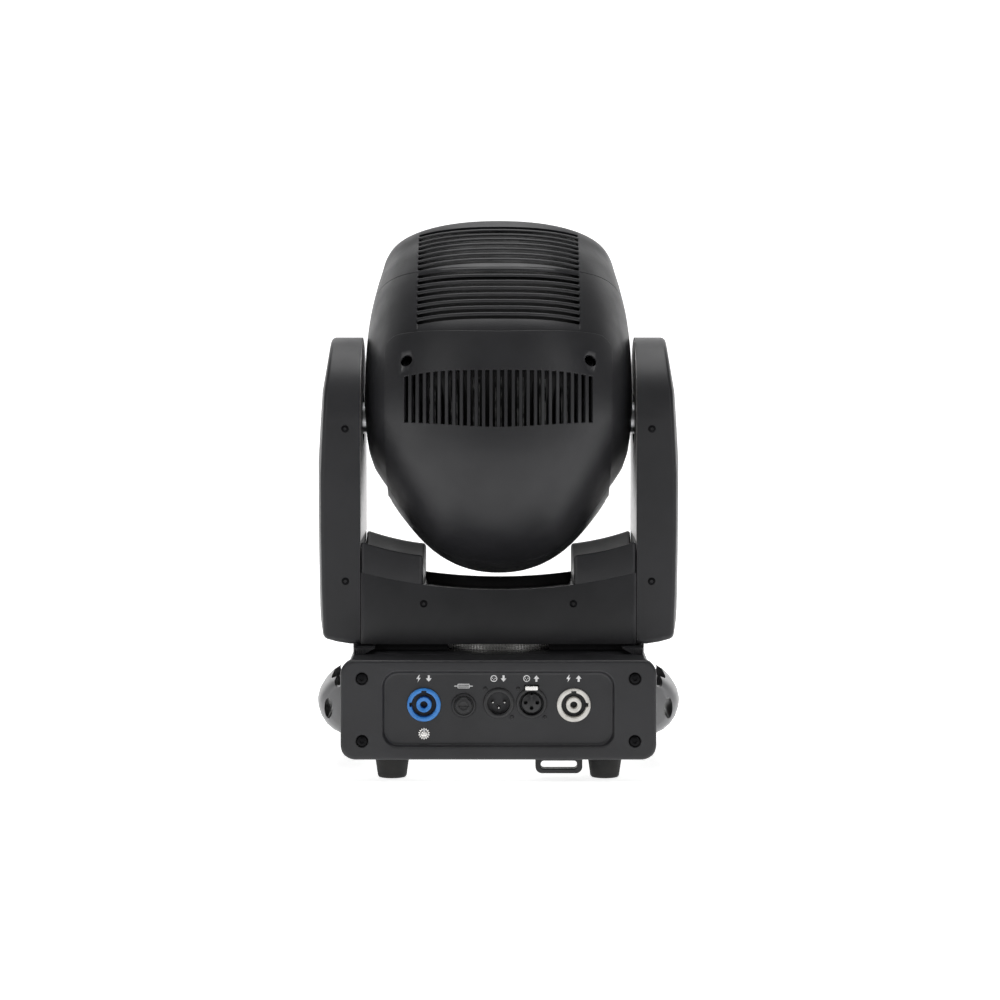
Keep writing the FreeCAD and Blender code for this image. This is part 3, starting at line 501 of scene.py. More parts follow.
def side_point(angle, height, offset=0.0):
    """A point on the section by its angle from +X, in the head's own upright frame."""
    half_w, half_d, power = station_values(height)
    c, s = math.cos(angle), math.sin(angle)
    scale = (abs(c) ** power + abs(s) ** power) ** (-1 / power)
    return (half_w + offset) * c * scale, (half_d + offset) * s * scale


# --- the head's shells ----------------------------------------------------------------------

CROWN_SLOTS = (82.3, 5.3, 1.1, 3.6)      # first slot, pitch, bow of the first and of the last slot
SIDE_SLOTS = (33.1, 5.6, 0.9, 3.4)
SLOT_HALF = 1.45
SEAM_BOW = 4.2
SIDE_BOW = 6.5
SLOTS_PER_GROUP = 8
FIELD_HALF_W = 61.0
SHELL_T = 1.9
PANEL_HALF_W = 85.6
PANEL_LIFT = 1.5


def half_columns(inner_steps=26, outer_steps=16):
    """Columns across one half of a section: by angle beside the slot field, by x inside it."""
    columns = [("side", 1, step / outer_steps) for step in range(outer_steps)]
    inner = [FIELD_HALF_W + 0.9, FIELD_HALF_W, FIELD_HALF_W - 0.7, FIELD_HALF_W - 1.9]
    reach = inner[-1]
    for step in range(1, inner_steps):
        inner.append(reach - 2 * reach * step / inner_steps)
    inner += [-x for x in inner[3::-1]]
    columns += [("x", x, 0) for x in inner]
    columns += [("side", -1, step / outer_steps) for step in reversed(range(outer_steps))]
    return columns


def column_point(column, height, offset):
    kind, first, second = column
    if kind == "x":
        return first, depth_at(first, height, offset)
    edge = FIELD_HALF_W + 0.9
    half_w, half_d, _ = station_values(height)
    edge_angle = math.atan2(depth_at(edge, height) / half_d, edge / half_w)
    x, y = side_point(edge_angle * second, height, offset)
    return first * x, y


def slot_share(column):
    """How much of a slot's half height is left near its rounded ends."""
    if column[0] == "side":
        return 1.0
    margin = FIELD_HALF_W - abs(column[1])
    if margin < -0.5:
        return 1.0
    return 0.4 if margin < 0.3 else (0.8 if margin < 1.0 else 1.0)


def louvre_rows(low, high, low_bow, high_bow, slots):
    """Rows up a louvred band: (height, slot sign, rib offset, bow at the field's sides)."""
    first, pitch, first_bow, last_bow = slots
    rows = [(low, 0, 0.0, low_bow)]
    span = first - SLOT_HALF - low
    if span > 6:
        for k in (1, 2, 3):
            rows.append((low + span * k / 4, 0, 0.0, low_bow + (first_bow - low_bow) * k / 4))
    for index in range(SLOTS_PER_GROUP):
        centre = first + pitch * index
        bow = first_bow + (last_bow - first_bow) * index / (SLOTS_PER_GROUP - 1)
        rows.append((centre, -1, -0.9, bow))
        rows.append((centre, 1, -0.9, bow))
        if index < SLOTS_PER_GROUP - 1:
            rib = pitch - 2 * SLOT_HALF
            for share, offset in ((0.16, -0.4), (0.36, -0.05), (0.64, 0.0), (0.84, -0.25)):
                rows.append((centre + SLOT_HALF + rib * share, 0, offset, bow))
    top = first + pitch * (SLOTS_PER_GROUP - 1) + SLOT_HALF
    rows.append((top + (high - top) * 0.5, 0, 0.0, (last_bow + high_bow) / 2))
    rows.append((high, 0, 0.0, high_bow))
    return rows


def bowed(column, bow, height, low, high):
    """How far a row rises at a column, so that the seam and the louvres arch with the shell."""
    if column[0] == "x":
        return bow * (column[1] / FIELD_HALF_W) ** 2
    fade = 1 - abs(height - CROWN_SEAM) / max(high - CROWN_SEAM, CROWN_SEAM - low)
    return bow * column[2] ** 0.7 + SIDE_BOW * math.sin(math.pi * column[2]) * max(fade, 0.0)


def head_grid(rows, columns, side, keep):
    """A bmesh grid on the head's surface; keep(row index, column index) says which faces stay."""
    work = bmesh.new()
    grid = []
    low, high = rows[0][0], rows[-1][0]
    for height, slot_sign, rib, bow in rows:
        line = []
        for column in columns:
            z = height + slot_sign * SLOT_HALF * slot_share(column) + bowed(column, bow, height, low, high)
            inside = column[0] == "x" and abs(column[1]) < FIELD_HALF_W - 0.3
            offset = rib if inside else max(-2.4, min(0.0, (z + 28) * 0.12))
            x, y = column_point(column, z, offset)
            line.append(work.verts.new((x * MM, side * y * MM, z * MM)))
        grid.append(line)
    for r in range(len(rows) - 1):
        for c in range(len(columns) - 1):
            if keep(r, c):
                work.faces.new((grid[r][c], grid[r][c + 1], grid[r + 1][c + 1], grid[r + 1][c]))
    loose = [v for v in work.verts if not v.link_faces]
    bmesh.ops.delete(work, geom=loose, context="VERTS")
    return work


def shell_from(works, name, thickness=SHELL_T, edge=0.35):
    """Merge grids, thicken them inwards and round their edges."""
    whole = bmesh.new()
    for work in works:
        part = bpy.data.meshes.new("part")
        work.to_mesh(part)
        work.free()
        whole.from_mesh(part)
        bpy.data.meshes.remove(part)
    bmesh.ops.remove_doubles(whole, verts=whole.verts, dist=0.00002)
    bmesh.ops.recalc_face_normals(whole, faces=whole.faces)
    outward = sum(f.normal.dot(f.calc_center_median()) for f in whole.faces)
    if outward < 0:
        bmesh.ops.reverse_faces(whole, faces=whole.faces)
    mesh = bpy.data.meshes.new(name)
    whole.to_mesh(mesh)
    whole.free()
    obj = add_object(name, mesh)
    shade(35.0, obj)
    solid = obj.modifiers.new("thickness", "SOLIDIFY")
    solid.thickness = thickness * MM
    solid.offset = -1.0
    solid.use_even_offset = True
    bevel(obj, edge * MM, 2, 40.0)
    obj.data.transform(HEAD_FRAME)
    return obj


def is_slot(rows, columns, r, c):
    between = rows[r][1] == -1 and rows[r + 1][1] == 1
    inside = all(k[0] == "x" and abs(k[1]) <= FIELD_HALF_W + 0.01 for k in (columns[c], columns[c + 1]))
    return between and inside


def crown():
    rows = louvre_rows(CROWN_SEAM + 0.25, HEAD_TOP, SEAM_BOW, 0.0, CROWN_SLOTS)
    columns = half_columns()
    works = []
    for side in (-1, 1):
        works.append(head_grid(rows, columns, side, lambda r, c: not is_slot(rows, columns, r, c)))
    return shell_from(works, "crown_shell")


def side_shell(side, name):
    """A middle shell with its louvres and the two cheeks that reach down beside the tail panel."""
    rows = [(z, 0, 0.0, 0.0) for z in (-50, -44, -38, -30, -22, -14, -6, 2, 10)]
    cheek_rows = len(rows)
    rows += louvre_rows(16.0, CROWN_SEAM - 0.25, 0.0, SEAM_BOW, SIDE_SLOTS)
    columns = half_columns()

    def keep(r, c):
        if is_slot(rows, columns, r, c):
            return False
        if r >= cheek_rows:
            return True
        middle = (rows[r][0] + rows[r + 1][0]) / 2
        first = column_point(columns[c], middle, 0)[0]
        second = column_point(columns[c + 1], middle, 0)[0]
        return min(abs(first), abs(second)) > 74.0

    return shell_from([head_grid(rows, columns, side, keep)], name)


def crown_rim():
    """The rolled lip at the crown's mouth, down to the lens bezel."""
    profile = ((127.6, 0.0), (128.5, -0.3), (129.0, -1.4), (129.0, -3.0), (128.2, -4.0), (121.5, -5.4),
               (121.5, -3.2), (126.5, -2.4))
    work = bmesh.new()
    rings = []
    for height, offset in profile:
        ring = []
        for step in range(180):
            x, y = side_point(2 * math.pi * step / 180, height, offset)
            ring.append(work.verts.new((x * MM, y * MM, height * MM)))
        rings.append(ring)
    skin(work, rings + rings[:1])
    rim = object_from(work, "crown_rim")
    rim.data.transform(HEAD_FRAME)
    return rim


VENT_COUNT = 26
VENT_PITCH = 5.5
VENT_HALF = 1.5
VENT_REACH = 70.3
NARROW_Z = -56.0
PANEL_CORNER = 11.0


def panel_columns():
    """Columns across the tail panel that follow the edges of its vertical vents."""
    xs = []
    for index in range(VENT_COUNT):
        centre = (index - (VENT_COUNT - 1) / 2) * VENT_PITCH
        xs += [(centre - VENT_HALF, index), (centre + VENT_HALF, None)]
    outer = (72.5, 75.0, 78.0, 81.0, 83.5, 85.0, PANEL_HALF_W)
    xs = [(-x, None) for x in reversed(outer)] + xs + [(x, None) for x in outer]
    return xs


def vent_top(x):
    return -8.2 + 1.7 * (x / VENT_REACH) ** 2


def vent_foot(x):
    return -49.0 + 11.2 * (x / VENT_REACH) ** 2


def panel_top(x):
    reach = PANEL_HALF_W - PANEL_CORNER
    corner = 0.0
    if abs(x) > reach:
        corner = PANEL_CORNER - math.sqrt(max(PANEL_CORNER ** 2 - (abs(x) - reach) ** 2, 0.0))
    return 20.9 + 9.5 * (x / PANEL_HALF_W) ** 2 - corner


def tail_panel(side, name):
    """The raised cap over the tail: vertical vents high up, a smooth round bottom."""
    columns = panel_columns()
    half_at_narrow = station_values(NARROW_Z)[0]
    work = bmesh.new()
    grid = []
    rows = [("top", 0.0), ("top", 0.06), ("top", 0.15), ("top", 0.4), ("top", 0.7)]
    rows += [("vent", k / 8) for k in range(9)]
    rows += [("foot", 0.4), ("foot", 0.75)]
    lower = [NARROW_Z, -62, -68, -74, -80, -86, -92, -97, -102, -106, -109.5, -112.5, -115, -117, -118.3]
    rows += [("tail", z) for z in lower]
    for kind, value in rows:
        line = []
        for x, _ in columns:
            if kind == "top":
                z = panel_top(x) * (1 - value) + vent_top(x) * value
            elif kind == "vent":
                z = vent_top(x) * (1 - value) + vent_foot(x) * value
            elif kind == "foot":
                z = vent_foot(x) * (1 - value) + NARROW_Z * value
            else:
                z = value
            lift = PANEL_LIFT
            placed = x
            if z <= NARROW_Z + 0.001:
                share = min(abs(x) / half_at_narrow, 1.0)
                placed = math.copysign(share * (station_values(z)[0] + lift), x)
            y = depth_at(placed, z, lift)
            line.append(work.verts.new((placed * MM, side * y * MM, z * MM)))
        grid.append(line)
    pole = work.verts.new((0, 0, (HEAD_FOOT - 0.9) * MM))
    for r in range(len(rows) - 1):
        for c in range(len(columns) - 1):
            is_vent = columns[c][1] is not None and rows[r][0] == rows[r + 1][0] == "vent"
            if not is_vent:
                work.faces.new((grid[r][c], grid[r][c + 1], grid[r + 1][c + 1], grid[r + 1][c]))
    for c in range(len(columns) - 1):
        work.faces.new((grid[-1][c], grid[-1][c + 1], pole))
    return shell_from([work], name, 3.0, 0.7)


# --- the yoke's covers ----------------------------------------------------------------------

ARM_HALF_D = ARM_HIGH.y / MM
ARM_FOOT = ARM_LOW.z / MM
ARM_INNER = ARM_LOW.x / MM
ARM_BACK = ARM_INNER + 0.4
ARM_BULGE = 4.0
TILT_Z = TILT.z / MM
INNER_PLATE_FOOT = 158.5
AXLE_CLEARANCE_R = 20.0


def arm_side_x(y, z):
    """The outer face of an arm: crowned front to back, drawn in towards the top and foot."""
    crown_drop = ARM_BULGE * (y / ARM_HALF_D) ** 2
    height_points = ((80, 135.6), (95, 137.0), (165, 138.0), (222, 138.0), (270, 134.8), (311, 127.6))
    reach = height_points[-1][1]
    for (z0, x0), (z1, x1) in zip(height_points, height_points[1:]):
        if z <= z1:
            t = max(0.0, (z - z0) / (z1 - z0))
            reach = x0 + (x1 - x0) * t
            break
    return reach - crown_drop


def arm_outline(inset, steps=40):
    """The arm's outline in (y, z), drawn in by an inset, with rounded lower corners."""
    half, low = ARM_HALF_D - inset, ARM_FOOT + inset
    corner = max(4.0 - inset * 0.3, 0.8)
    sides = [TILT_Z + (low + corner - TILT_Z) * share for share in (0.25, 0.5, 0.75)]
    points = arc((0.0, TILT_Z), half, 0, 180, steps)
    points += [(-half, z) for z in sides]
    points += arc((corner - half, low + corner), corner, 180, 90, 4)
    points += arc((half - corner, low + corner), corner, 270, 90, 4)
    return points + [(half, z) for z in reversed(sides)]


def arm_cover(sign, name):
    """A closed moulded cover: a flat rim, a rounded shoulder and the crowned outer face."""
    work = bmesh.new()
    fillet = 3.0
    levels = [(0.0, "flat", ARM_BACK), (0.0, "flat", 112.0), (0.0, "flat", 122.0)]
    for step in range(7):
        angle = math.pi / 2 * step / 6
        levels.append((fillet * (1 - math.cos(angle)), "face", fillet * (1 - math.sin(angle))))
    for inset in (9.0, 16.0, 25.0, 35.0, 45.0):
        levels.append((inset, "face", 0.0))
    rings = []
    for inset, kind, value in levels:
        ring = []
        for y, z in arm_outline(inset):
            x = value if kind == "flat" else arm_side_x(y, z) - value
            if kind == "flat":
                x = min(x, arm_side_x(y, z) - fillet - 0.2)
            if z < ARM_FOOT + 24:
                slope = max(0.0, x - 116.0) * 0.27
                z += slope * (1 - (z - ARM_FOOT) / 24)
            ring.append(work.verts.new((sign * x * MM, y * MM, z * MM)))
        rings.append(ring)
    skin(work, rings)
    work.faces.new(rings[-1])
    bmesh.ops.triangulate(work, faces=[f for f in work.faces if len(f.verts) > 4])
    work.faces.new(rings[0])
    moulding = object_from(work, name, 40)
    cut(moulding, [axle_cutter()])
    even_shading(moulding)
    return moulding


def axle_cutter():
    """The clearance around the tilt axles, from the middle of the yoke into both arms."""
    cutter = round_cutter(AXLE_CLEARANCE_R, (0, TILT_Z), -114.0, 114.0)
    cutter.data.transform(Matrix.Rotation(math.pi / 2, 4, "Z"))
    return cutter


def inner_plates():
    """The pale plates on the arms' inner faces, above the crossbar's motor blocks; their mid-grey metal is in part
    painted sheen, standing in for the bright grazing reflection on satin paint.
    """
    half = ARM_HALF_D - 1.6
    outline = [(-half, INNER_PLATE_FOOT), (half, INNER_PLATE_FOOT)] + arc((0, TILT_Z), half, 0, 180, 48)
    plates = []
    for sign in (-1, 1):
        low, high = sorted((sign * ARM_INNER, sign * (ARM_BACK - 0.05)))
        plate = prism(outline, low, high, "inner_plate", "X")
        cut(plate, [axle_cutter()])
        bevel(plate, 0.12 * MM, 2, 50)
        plates.append(plate)
    return join(plates, "inner_plates")


BLOCK_X = 57.0
BAR_TOP = 121.5
BAR_RISE = 13.0
TROUGH_DEPTH = 9.0
BAR_REACH = BAR_HIGH.x / MM
SWEEP_IN = 118.0
SWEEP_OUT = 109.0


def bar_top(x):
    return BAR_TOP + BAR_RISE * (x / BAR_REACH) ** 2


def heightfield(xs, ys, low, top, name):
    """A closed block whose top follows top(x, y), with straight sides."""
    work = bmesh.new()
    upper = [[work.verts.new((x * MM, y * MM, top(x, y) * MM)) for y in ys] for x in xs]
    lower = [[work.verts.new((x * MM, y * MM, low * MM)) for y in ys] for x in xs]
    for i in range(len(xs) - 1):
        for j in range(len(ys) - 1):
            work.faces.new((upper[i][j], upper[i + 1][j], upper[i + 1][j + 1], upper[i][j + 1]))
            work.faces.new((lower[i][j], lower[i][j + 1], lower[i + 1][j + 1], lower[i + 1][j]))
    for i in range(len(xs) - 1):
        for j in (0, len(ys) - 1):
            work.faces.new((lower[i][j], lower[i + 1][j], upper[i + 1][j], upper[i][j]))
    for j in range(len(ys) - 1):
        for i in (0, len(xs) - 1):
            work.faces.new((lower[i][j], upper[i][j], upper[i][j + 1], lower[i][j + 1]))
    return object_from(work, name)


def crossbar(side, name):
    """Half of the crossbar's cover: the hollow-backed bar and its two raised motor blocks."""
    y_out, y_in = side * ARM_HALF_D, side * 0.15
    depths = (ARM_HALF_D, ARM_HALF_D - 1.5, ARM_HALF_D - 3.0, ARM_HALF_D - 3.2, 40, 20, 0.15)
    edges = [side * y for y in depths]

    def trough_top(x, y):
        inside = abs(x) < BLOCK_X + 0.5 and abs(y) < ARM_HALF_D - 3.1
        return bar_top(x) - (TROUGH_DEPTH if inside else 0.0)

    bar = heightfield(spread(-BAR_REACH, BAR_REACH, 60), sorted(edges), BAR_LOW.z / MM, trough_top, "bar")
    bevel(bar, 0.8 * MM, 3, 50)
    parts = [bar]

    def block_top(x, y):
        share = (abs(x) - BLOCK_X) / (BAR_REACH - BLOCK_X)
        radius = SWEEP_IN + (SWEEP_OUT - SWEEP_IN) * share + 4.8 * share * (1 - share)
        return TILT_Z - math.sqrt(radius ** 2 - y ** 2)

    for sign in (-1, 1):
        xs = sorted(sign * x for x in spread(BLOCK_X, BAR_REACH, 16))
        ys_block = sorted(spread(y_out - side * 0.25, y_in, 16))
        block = heightfield(xs, ys_block, BAR_TOP - 2, block_top, "block")
        bevel(block, 2.2 * MM, 4, 50)
        parts.append(block)
    piece = join(parts, name)
    shade(40, piece)
    return piece


# --- the base -------------------------------------------------------------------------------

BASE_HALF_W = PANEL_HIGH.x / MM
BASE_HALF_D = -PANEL_LOW.y / MM
BASE_H = PANEL_HIGH.z / MM
PLATE_D = (PANEL_HIGH.y - PANEL_LOW.y) / MM
PLATFORM_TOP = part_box("base_cover")[1].z / MM
RECESS_DEPTH = 4.0
PANEL_FACE = -BASE_HALF_D + RECESS_DEPTH


def ring_loops(loops, name, closed=True):
    """Skin a run of closed loops of the same length."""
    work = bmesh.new()
    rings = [[work.verts.new(Vector(point) * MM) for point in loop] for loop in loops]
    skin(work, rings)
    if closed:
        work.faces.new(rings[0])
        work.faces.new(rings[-1])
    return object_from(work, name)


def end_plate(side, name):
    """A moulded end plate: rounded rim, flat frame, and a dished recess with soft edges."""
    def loop(half_w, low, high, radius, depth):
        y = side * (BASE_HALF_D - depth)
        return [(x, y, z) for x, z in rounded_outline(half_w, low, high, radius, 10)]

    loops = [loop(BASE_HALF_W, 0, BASE_H, 11.0, PLATE_D)]
    edge = 2.4
    for step in range(6):
        angle = math.pi / 2 * step / 5
        inset = edge * (1 - math.cos(angle))
        loops.append(loop(BASE_HALF_W - inset, inset, BASE_H - inset, 11.0 - inset * 0.6,
                          edge * (1 - math.sin(angle))))
    loops.append(loop(BASE_HALF_W - 10, 5.6, BASE_H - 5, 10.5, 0))
    lip = ((0.0, 0.0), (0.6, 0.15), (1.1, 0.6), (1.4, 1.2), (1.7, 2.2), (2.0, 3.0), (2.5, 3.6), (3.3, 3.95),
           (4.2, 4.0))
    for inset, depth in lip:
        loops.append(loop(86.8 - inset, 8.6 + inset, 66.8 - inset, 12.0 - inset * 0.7, depth))
    return ring_loops(loops, name)


SOCKETS = {"power_in": (-55.2, 40.8), "power_out": (55.8, 40.5), "data_in": (0.2, 42.0),
           "data_out": (24.5, 42.0), "fuse": (-25.8, 40.2), "ground": (-55.1, 19.2)}
SOCKET_HOLES = {"power_in": 11.6, "power_out": 11.6, "data_in": 10.6, "data_out": 10.6, "fuse": 7.6,
                "ground": 2.3}


PLATE_SCREWS = [(x, z) for x in (-101.0, 101.0) for z in (14.0, 60.5)]
PLATE_SCREW_SEAT = 1.7
KEYS = ("menu_button", "up_button", "down_button", "enter_button")
WINDOW_GAP = 0.2


def even_shading(obj):
    """Keep flat faces flat to the eye where soft edges meet them."""
    shade(50, obj)
    modifier = obj.modifiers.new("normals", "WEIGHTED_NORMAL")
    modifier.keep_sharp = True
    modifier.weight = 100
    return obj


def plate_sinks(side):
    """Counterbores for the four screws of an end plate."""
    near, far = sorted((side * (BASE_HALF_D - 1.8), side * 130))
    return [round_cutter(4.9, place, near, far, 40) for place in PLATE_SCREWS]


def rear_panel():
    panel = end_plate(-1, "rear_end_plate")
    cutters = [round_cutter(SOCKET_HOLES[key], SOCKETS[key], -130, -100) for key in SOCKETS]
    cutters += plate_sinks(-1)
    x, z = SOCKETS["data_out"]
    cutters.append(box_cutter((x - 5.4, -130, z + 9.2), (x + 5.4, -100, z + 13.4)))
    return even_shading(cut(panel, cutters))


def front_panel():
    """The display side: the same moulding with a window and four key holes."""
    panel = end_plate(1, "front_end_plate")
    cutters = plate_sinks(1)
    for name in KEYS:
        low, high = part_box(name)
        centre = ((low.x + high.x) / 2 / MM, (low.z + high.z) / 2 / MM)
        cutters.append(round_cutter(5.5, centre, 100, 130))
    low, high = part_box("display_window")
    near = (low.x / MM - WINDOW_GAP, 100, low.z / MM - WINDOW_GAP)
    far = (high.x / MM + WINDOW_GAP, 130, high.z / MM + WINDOW_GAP)
    cutters.append(box_cutter(near, far))
    return even_shading(cut(panel, cutters))


def key_cap(name):
    """A domed key with a soft rim."""
    low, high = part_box(name)
    radius = (high.x - low.x) / 2 / MM
    rise = high.y / MM
    profile = ((0, 0.0), (radius * 0.5, -0.1), (radius * 0.8, -0.35), (radius * 0.95, -0.8), (radius, -1.5),
               (radius, low.y / MM - rise), (0, low.y / MM - rise))
    place = ((low.x + high.x) / 2 / MM, (low.z + high.z) / 2 / MM)
    return face_lathe(profile, place, rise, 48, direction=1)


def base_cover():
    """The base's long cover with its shoulders, finger pockets, scoop and well."""
    half = [(0, 0), (111, 0), (114.5, 2.2), (116.4, 5.0), (117, 8.5), (117, 55.0), (116.5, 58.0),
            (115.2, 60.6), (112.6, 63.6), (111.0, 66.0), (110, 69.5), (110, 72.0), (109.4, 73.6),
            (108, 74.4), (0, 74.4)]
    outline = half + [(-x, z) for x, z in reversed(half[1:-1])]
    length = BASE_HALF_D - PLATE_D
    cover = prism(outline, -length, length, "base_cover_shell")
    plan = rounded_outline(109.0, -81.0, 81.0, 3.5, 6)
    platform = prism(plan, 70, PLATFORM_TOP, "platform", "Z")
    cut(cover, [platform], "UNION")
    cutters = [box_cutter((-99.5, -105.4, -5), (99.5, 105.4, 64.0))]
    for sign in (-1, 1):
        for end in (-1, 1):
            xs = sorted((sign * 99, sign * 113.6))
            ys = sorted((end * 46, end * 105.4))
            cutters.append(box_cutter((xs[0], ys[0], -5), (xs[1], ys[1], 55)))
        pocket = rounded_outline(42.0, 12.0, 52.0, 6.0, 6)
        xs = sorted((sign * 103, sign * 130))
        cutters.append(prism(pocket, *xs, "pocket", "X"))
    well = lathe([(0, 67), (60, 67), (60, 90), (0, 90)], "well", 120)
    bore = lathe([(0, 50), (40, 50), (40, 80), (0, 80)], "bore", 96)
    scoop = round_cutter(106.0, (0, PLATFORM_TOP + 106 - 4.6), -90, -50, 240)
    gap = [(-101.0, 74.6), (101.0, 74.6), (84.0, 84.0), (-84.0, 84.0)]
    relief = prism(gap, -90, -46, "relief")
    cutters += [well, bore, scoop, relief]
    cut(cover, cutters)
    bevel(cover, 0.7 * MM, 2, 40)
    even_shading(cover)
    ribs = []
    for sign in (-1, 1):
        for index in range(5):
            x = sign * (101.4 + 1.6 * index)
            rib = box_cutter((x - 0.45, -81.9, 70.0), (x + 0.45, -80.5, PLATFORM_TOP - 0.8))
            bevel(rib, 0.25 * MM, 2, 40)
            ribs.append(rib)
    return join([cover] + ribs, "base_cover_shell")


HANDLE_REACH = 139.0
HANDLE_HALF_L = 54.0
HANDLE_ROOT = 116.0
FOOT_X, FOOT_Y = 79.5, 90.0


def handles():
    """Two bowed loop grips with an oval eye through each end."""
    pieces = []
    profile = [(-1.0, 0.0), (-0.97, 0.22), (-0.86, 0.45), (-0.66, 0.70), (-0.4, 0.88), (-0.1, 0.98),
               (0.12, 1.0), (0.36, 0.94), (0.58, 0.80), (0.78, 0.60), (0.92, 0.36), (0.99, 0.14), (1.0, 0.0)]
    for sign in (-1, 1):
        loops = []
        stations = (-1.0, -0.995, -0.98, -0.955, -0.92, -0.87, -0.8, -0.6, -0.3, 0, 0.3, 0.6, 0.8, 0.87, 0.92,
                    0.955, 0.98, 0.995, 1.0)
        for station in stations:
            shrink = (1 - min(abs(station), 0.999) ** 9) ** 0.4
            swell = 1 - 0.10 * station ** 2
            loop = []
            for along, out in profile:
                z = 32.6 + 23.0 * along * (0.62 + 0.38 * shrink)
                x = HANDLE_ROOT + (HANDLE_REACH - HANDLE_ROOT) * out * swell * (0.55 + 0.45 * shrink)
                loop.append((sign * x, station * HANDLE_HALF_L, z))
            loop.append((sign * 114.5, station * HANDLE_HALF_L, loop[-1][2]))
            loop.append((sign * 114.5, station * HANDLE_HALF_L, loop[0][2]))
            loops.append(loop)
        grip = ring_loops(loops, "grip")
        cutters = []
        reach = ((100, 42.0), (119, 42.0), (124, 40.5), (127, 36.0), (128, 28))
        gap = [(sign * x, -y) for x, y in reach] + [(sign * x, y) for x, y in reversed(reach)]
        cutters.append(prism(gap, -5, 70, "gap", "Z"))
        for centre_x, centre_z, half_w, half_h in ((129.0, 30.8, 3.1, 8.0), (121.6, 50.5, 2.8, 3.8)):
            oval = [(sign * x, z) for x, z in loop_points((centre_x, centre_z), half_w, half_h, 40)]
            cutters.append(prism(oval, -80, 80, "eye"))
        cut(grip, cutters)
        shade(50, grip)
        bevel(grip, 0.8 * MM, 3, 50)
        pieces.append(grip)
    return join(pieces, "handle_grips")


def feet():
    """Tapered rubber feet with a rounded tread and a countersunk recess in each."""
    low = FLOOR_Z / MM
    profile = [(0, low + 5.0), (3.2, low + 5.0), (3.4, low + 4.6), (3.4, low + 1.2), (4.2, low + 0.5),
               (8.6, low), (9.8, low + 0.25), (10.6, low + 1.1), (10.9, low + 2.2), (12.7, -1.6),
               (12.85, -0.7), (12.85, 0.0), (0, 0.0)]
    places = []
    for x in (-FOOT_X, FOOT_X):
        for y in (-FOOT_Y, FOOT_Y):
            foot = lathe(profile, "foot", 56)
            foot.data.transform(Matrix.Translation((x * MM, y * MM, 0)))
            places.append(foot)
    return join(places, "rubber_feet")


def safety_anchor():
    """The loop under the rear edge, with a round-cornered eye."""
    low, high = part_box("safety_anchor")
    centre = (low.x + high.x) / 2 / MM
    half = (high.x - low.x) / 2 / MM
    depth = (high.z - low.z) / MM
    outline = [(centre - half, 0)] + arc((centre - half + 5, 5 - depth), 5, 180, 90, 8)
    outline += arc((centre + half - 5, 5 - depth), 5, 270, 90, 8) + [(centre + half, 0)]
    loop = prism(outline, low.y / MM, high.y / MM, "anchor_loop")
    eye = rounded_outline(half - 4, -depth + 3.5, -2.5, 2.4, 6, centre)
    cut(loop, [prism(eye, low.y / MM - 10, high.y / MM + 10, "eye")])
    shade(40, loop)
    return bevel(loop, 0.9 * MM, 3, 50)


def toothed_ring():
    """The polished fixed ring, with a fine upright rib at every tooth."""
    low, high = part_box("pan_ring")
    teeth, outer, root = 141, high.x / MM, high.x / MM - 0.8
    loops = []
    z0, z1 = low.z / MM, high.z / MM
    levels = ((z0, root - 8), (z0, root), (z0 + 0.6, outer), (z1 - 0.8, outer), (z1, root), (z1, root - 7.2))
    for z, radius in levels:
        loop = []
        for index in range(teeth):
            for share, drop in ((0.0, 1.0), (0.22, 0.0), (0.62, 0.0), (0.84, 1.0)):
                angle = 2 * math.pi * (index + share) / teeth
                reach = radius - (0.8 * drop if radius > root else 0.0)
                loop.append((reach * math.cos(angle), reach * math.sin(angle), z))
        loops.append(loop)
    loops.append(loops[0])
    work = ring_loops(loops, "toothed_ring", closed=False)
    merge = bmesh.new()
    merge.from_mesh(work.data)
    bmesh.ops.remove_doubles(merge, verts=merge.verts, dist=0.000001)
    bmesh.ops.recalc_face_normals(merge, faces=merge.faces)
    merge.to_mesh(work.data)
    merge.free()
    return work


# --- connectors and screws ------------------------------------------------------------------


def face_lathe(profile, place, y=PANEL_FACE, steps=64, closed=False, direction=-1):
    """Turned part on the panel: (radius, height out of the panel) in mm."""
    made = lathe(profile, "turned", steps, closed)
    return aim_y(made, (place[0] * MM, y * MM, place[1] * MM), direction)


def power_socket(place, notch_angle, name):
    """A locking power socket: keyed outer ring, deep annular gap and a hollow core."""
    ring = face_lathe(((11.5, -18), (11.5, 0.0), (12.5, 0.0), (12.5, 1.3), (12.2, 1.9), (11.6, 2.2),
                       (9.8, 2.2), (9.35, 2.0), (9.2, 1.5), (9.2, -16), (0, -16), (0, -18)), place)
    x, z = place
    cutters = [box_cutter((x - 1.9, -125, z + 8.0), (x + 1.9, -104, z + 10.6))]
    side = 1 if notch_angle > 0 else -1
    near, far = sorted((x + side * 8.4, x + side * 10.8))
    cutters.append(box_cutter((near, -125, z - 1.4), (far, -106, z + 1.8)))
    cut(ring, cutters)
    core = face_lathe(((2.7, 1.0), (2.9, 1.5), (3.3, 1.7), (5.2, 1.7), (5.6, 1.4), (5.7, 0.9), (5.7, -16),
                       (2.7, -16)), place, closed=True)
    shade(35, ring, core)
    return join([ring, core], name)


def small_screw(x, z):
    """A pan-head cross-slotted screw seated on the panel."""
    radius, y = 1.5, PANEL_FACE
    head = face_lathe(((0, 0.9), (radius * 0.45, 0.88), (radius * 0.8, 0.7), (radius, 0.25), (radius, -1.0),
                       (0, -1.0)), (x, z), steps=28)
    bar = radius * 0.62
    slot = radius * 0.17
    cutters = [box_cutter((x - bar, y - 1.5, z - slot), (x + bar, y - 0.35, z + slot)),
               box_cutter((x - slot, y - 1.5, z - bar), (x + slot, y - 0.35, z + bar))]
    return cut(head, cutters)


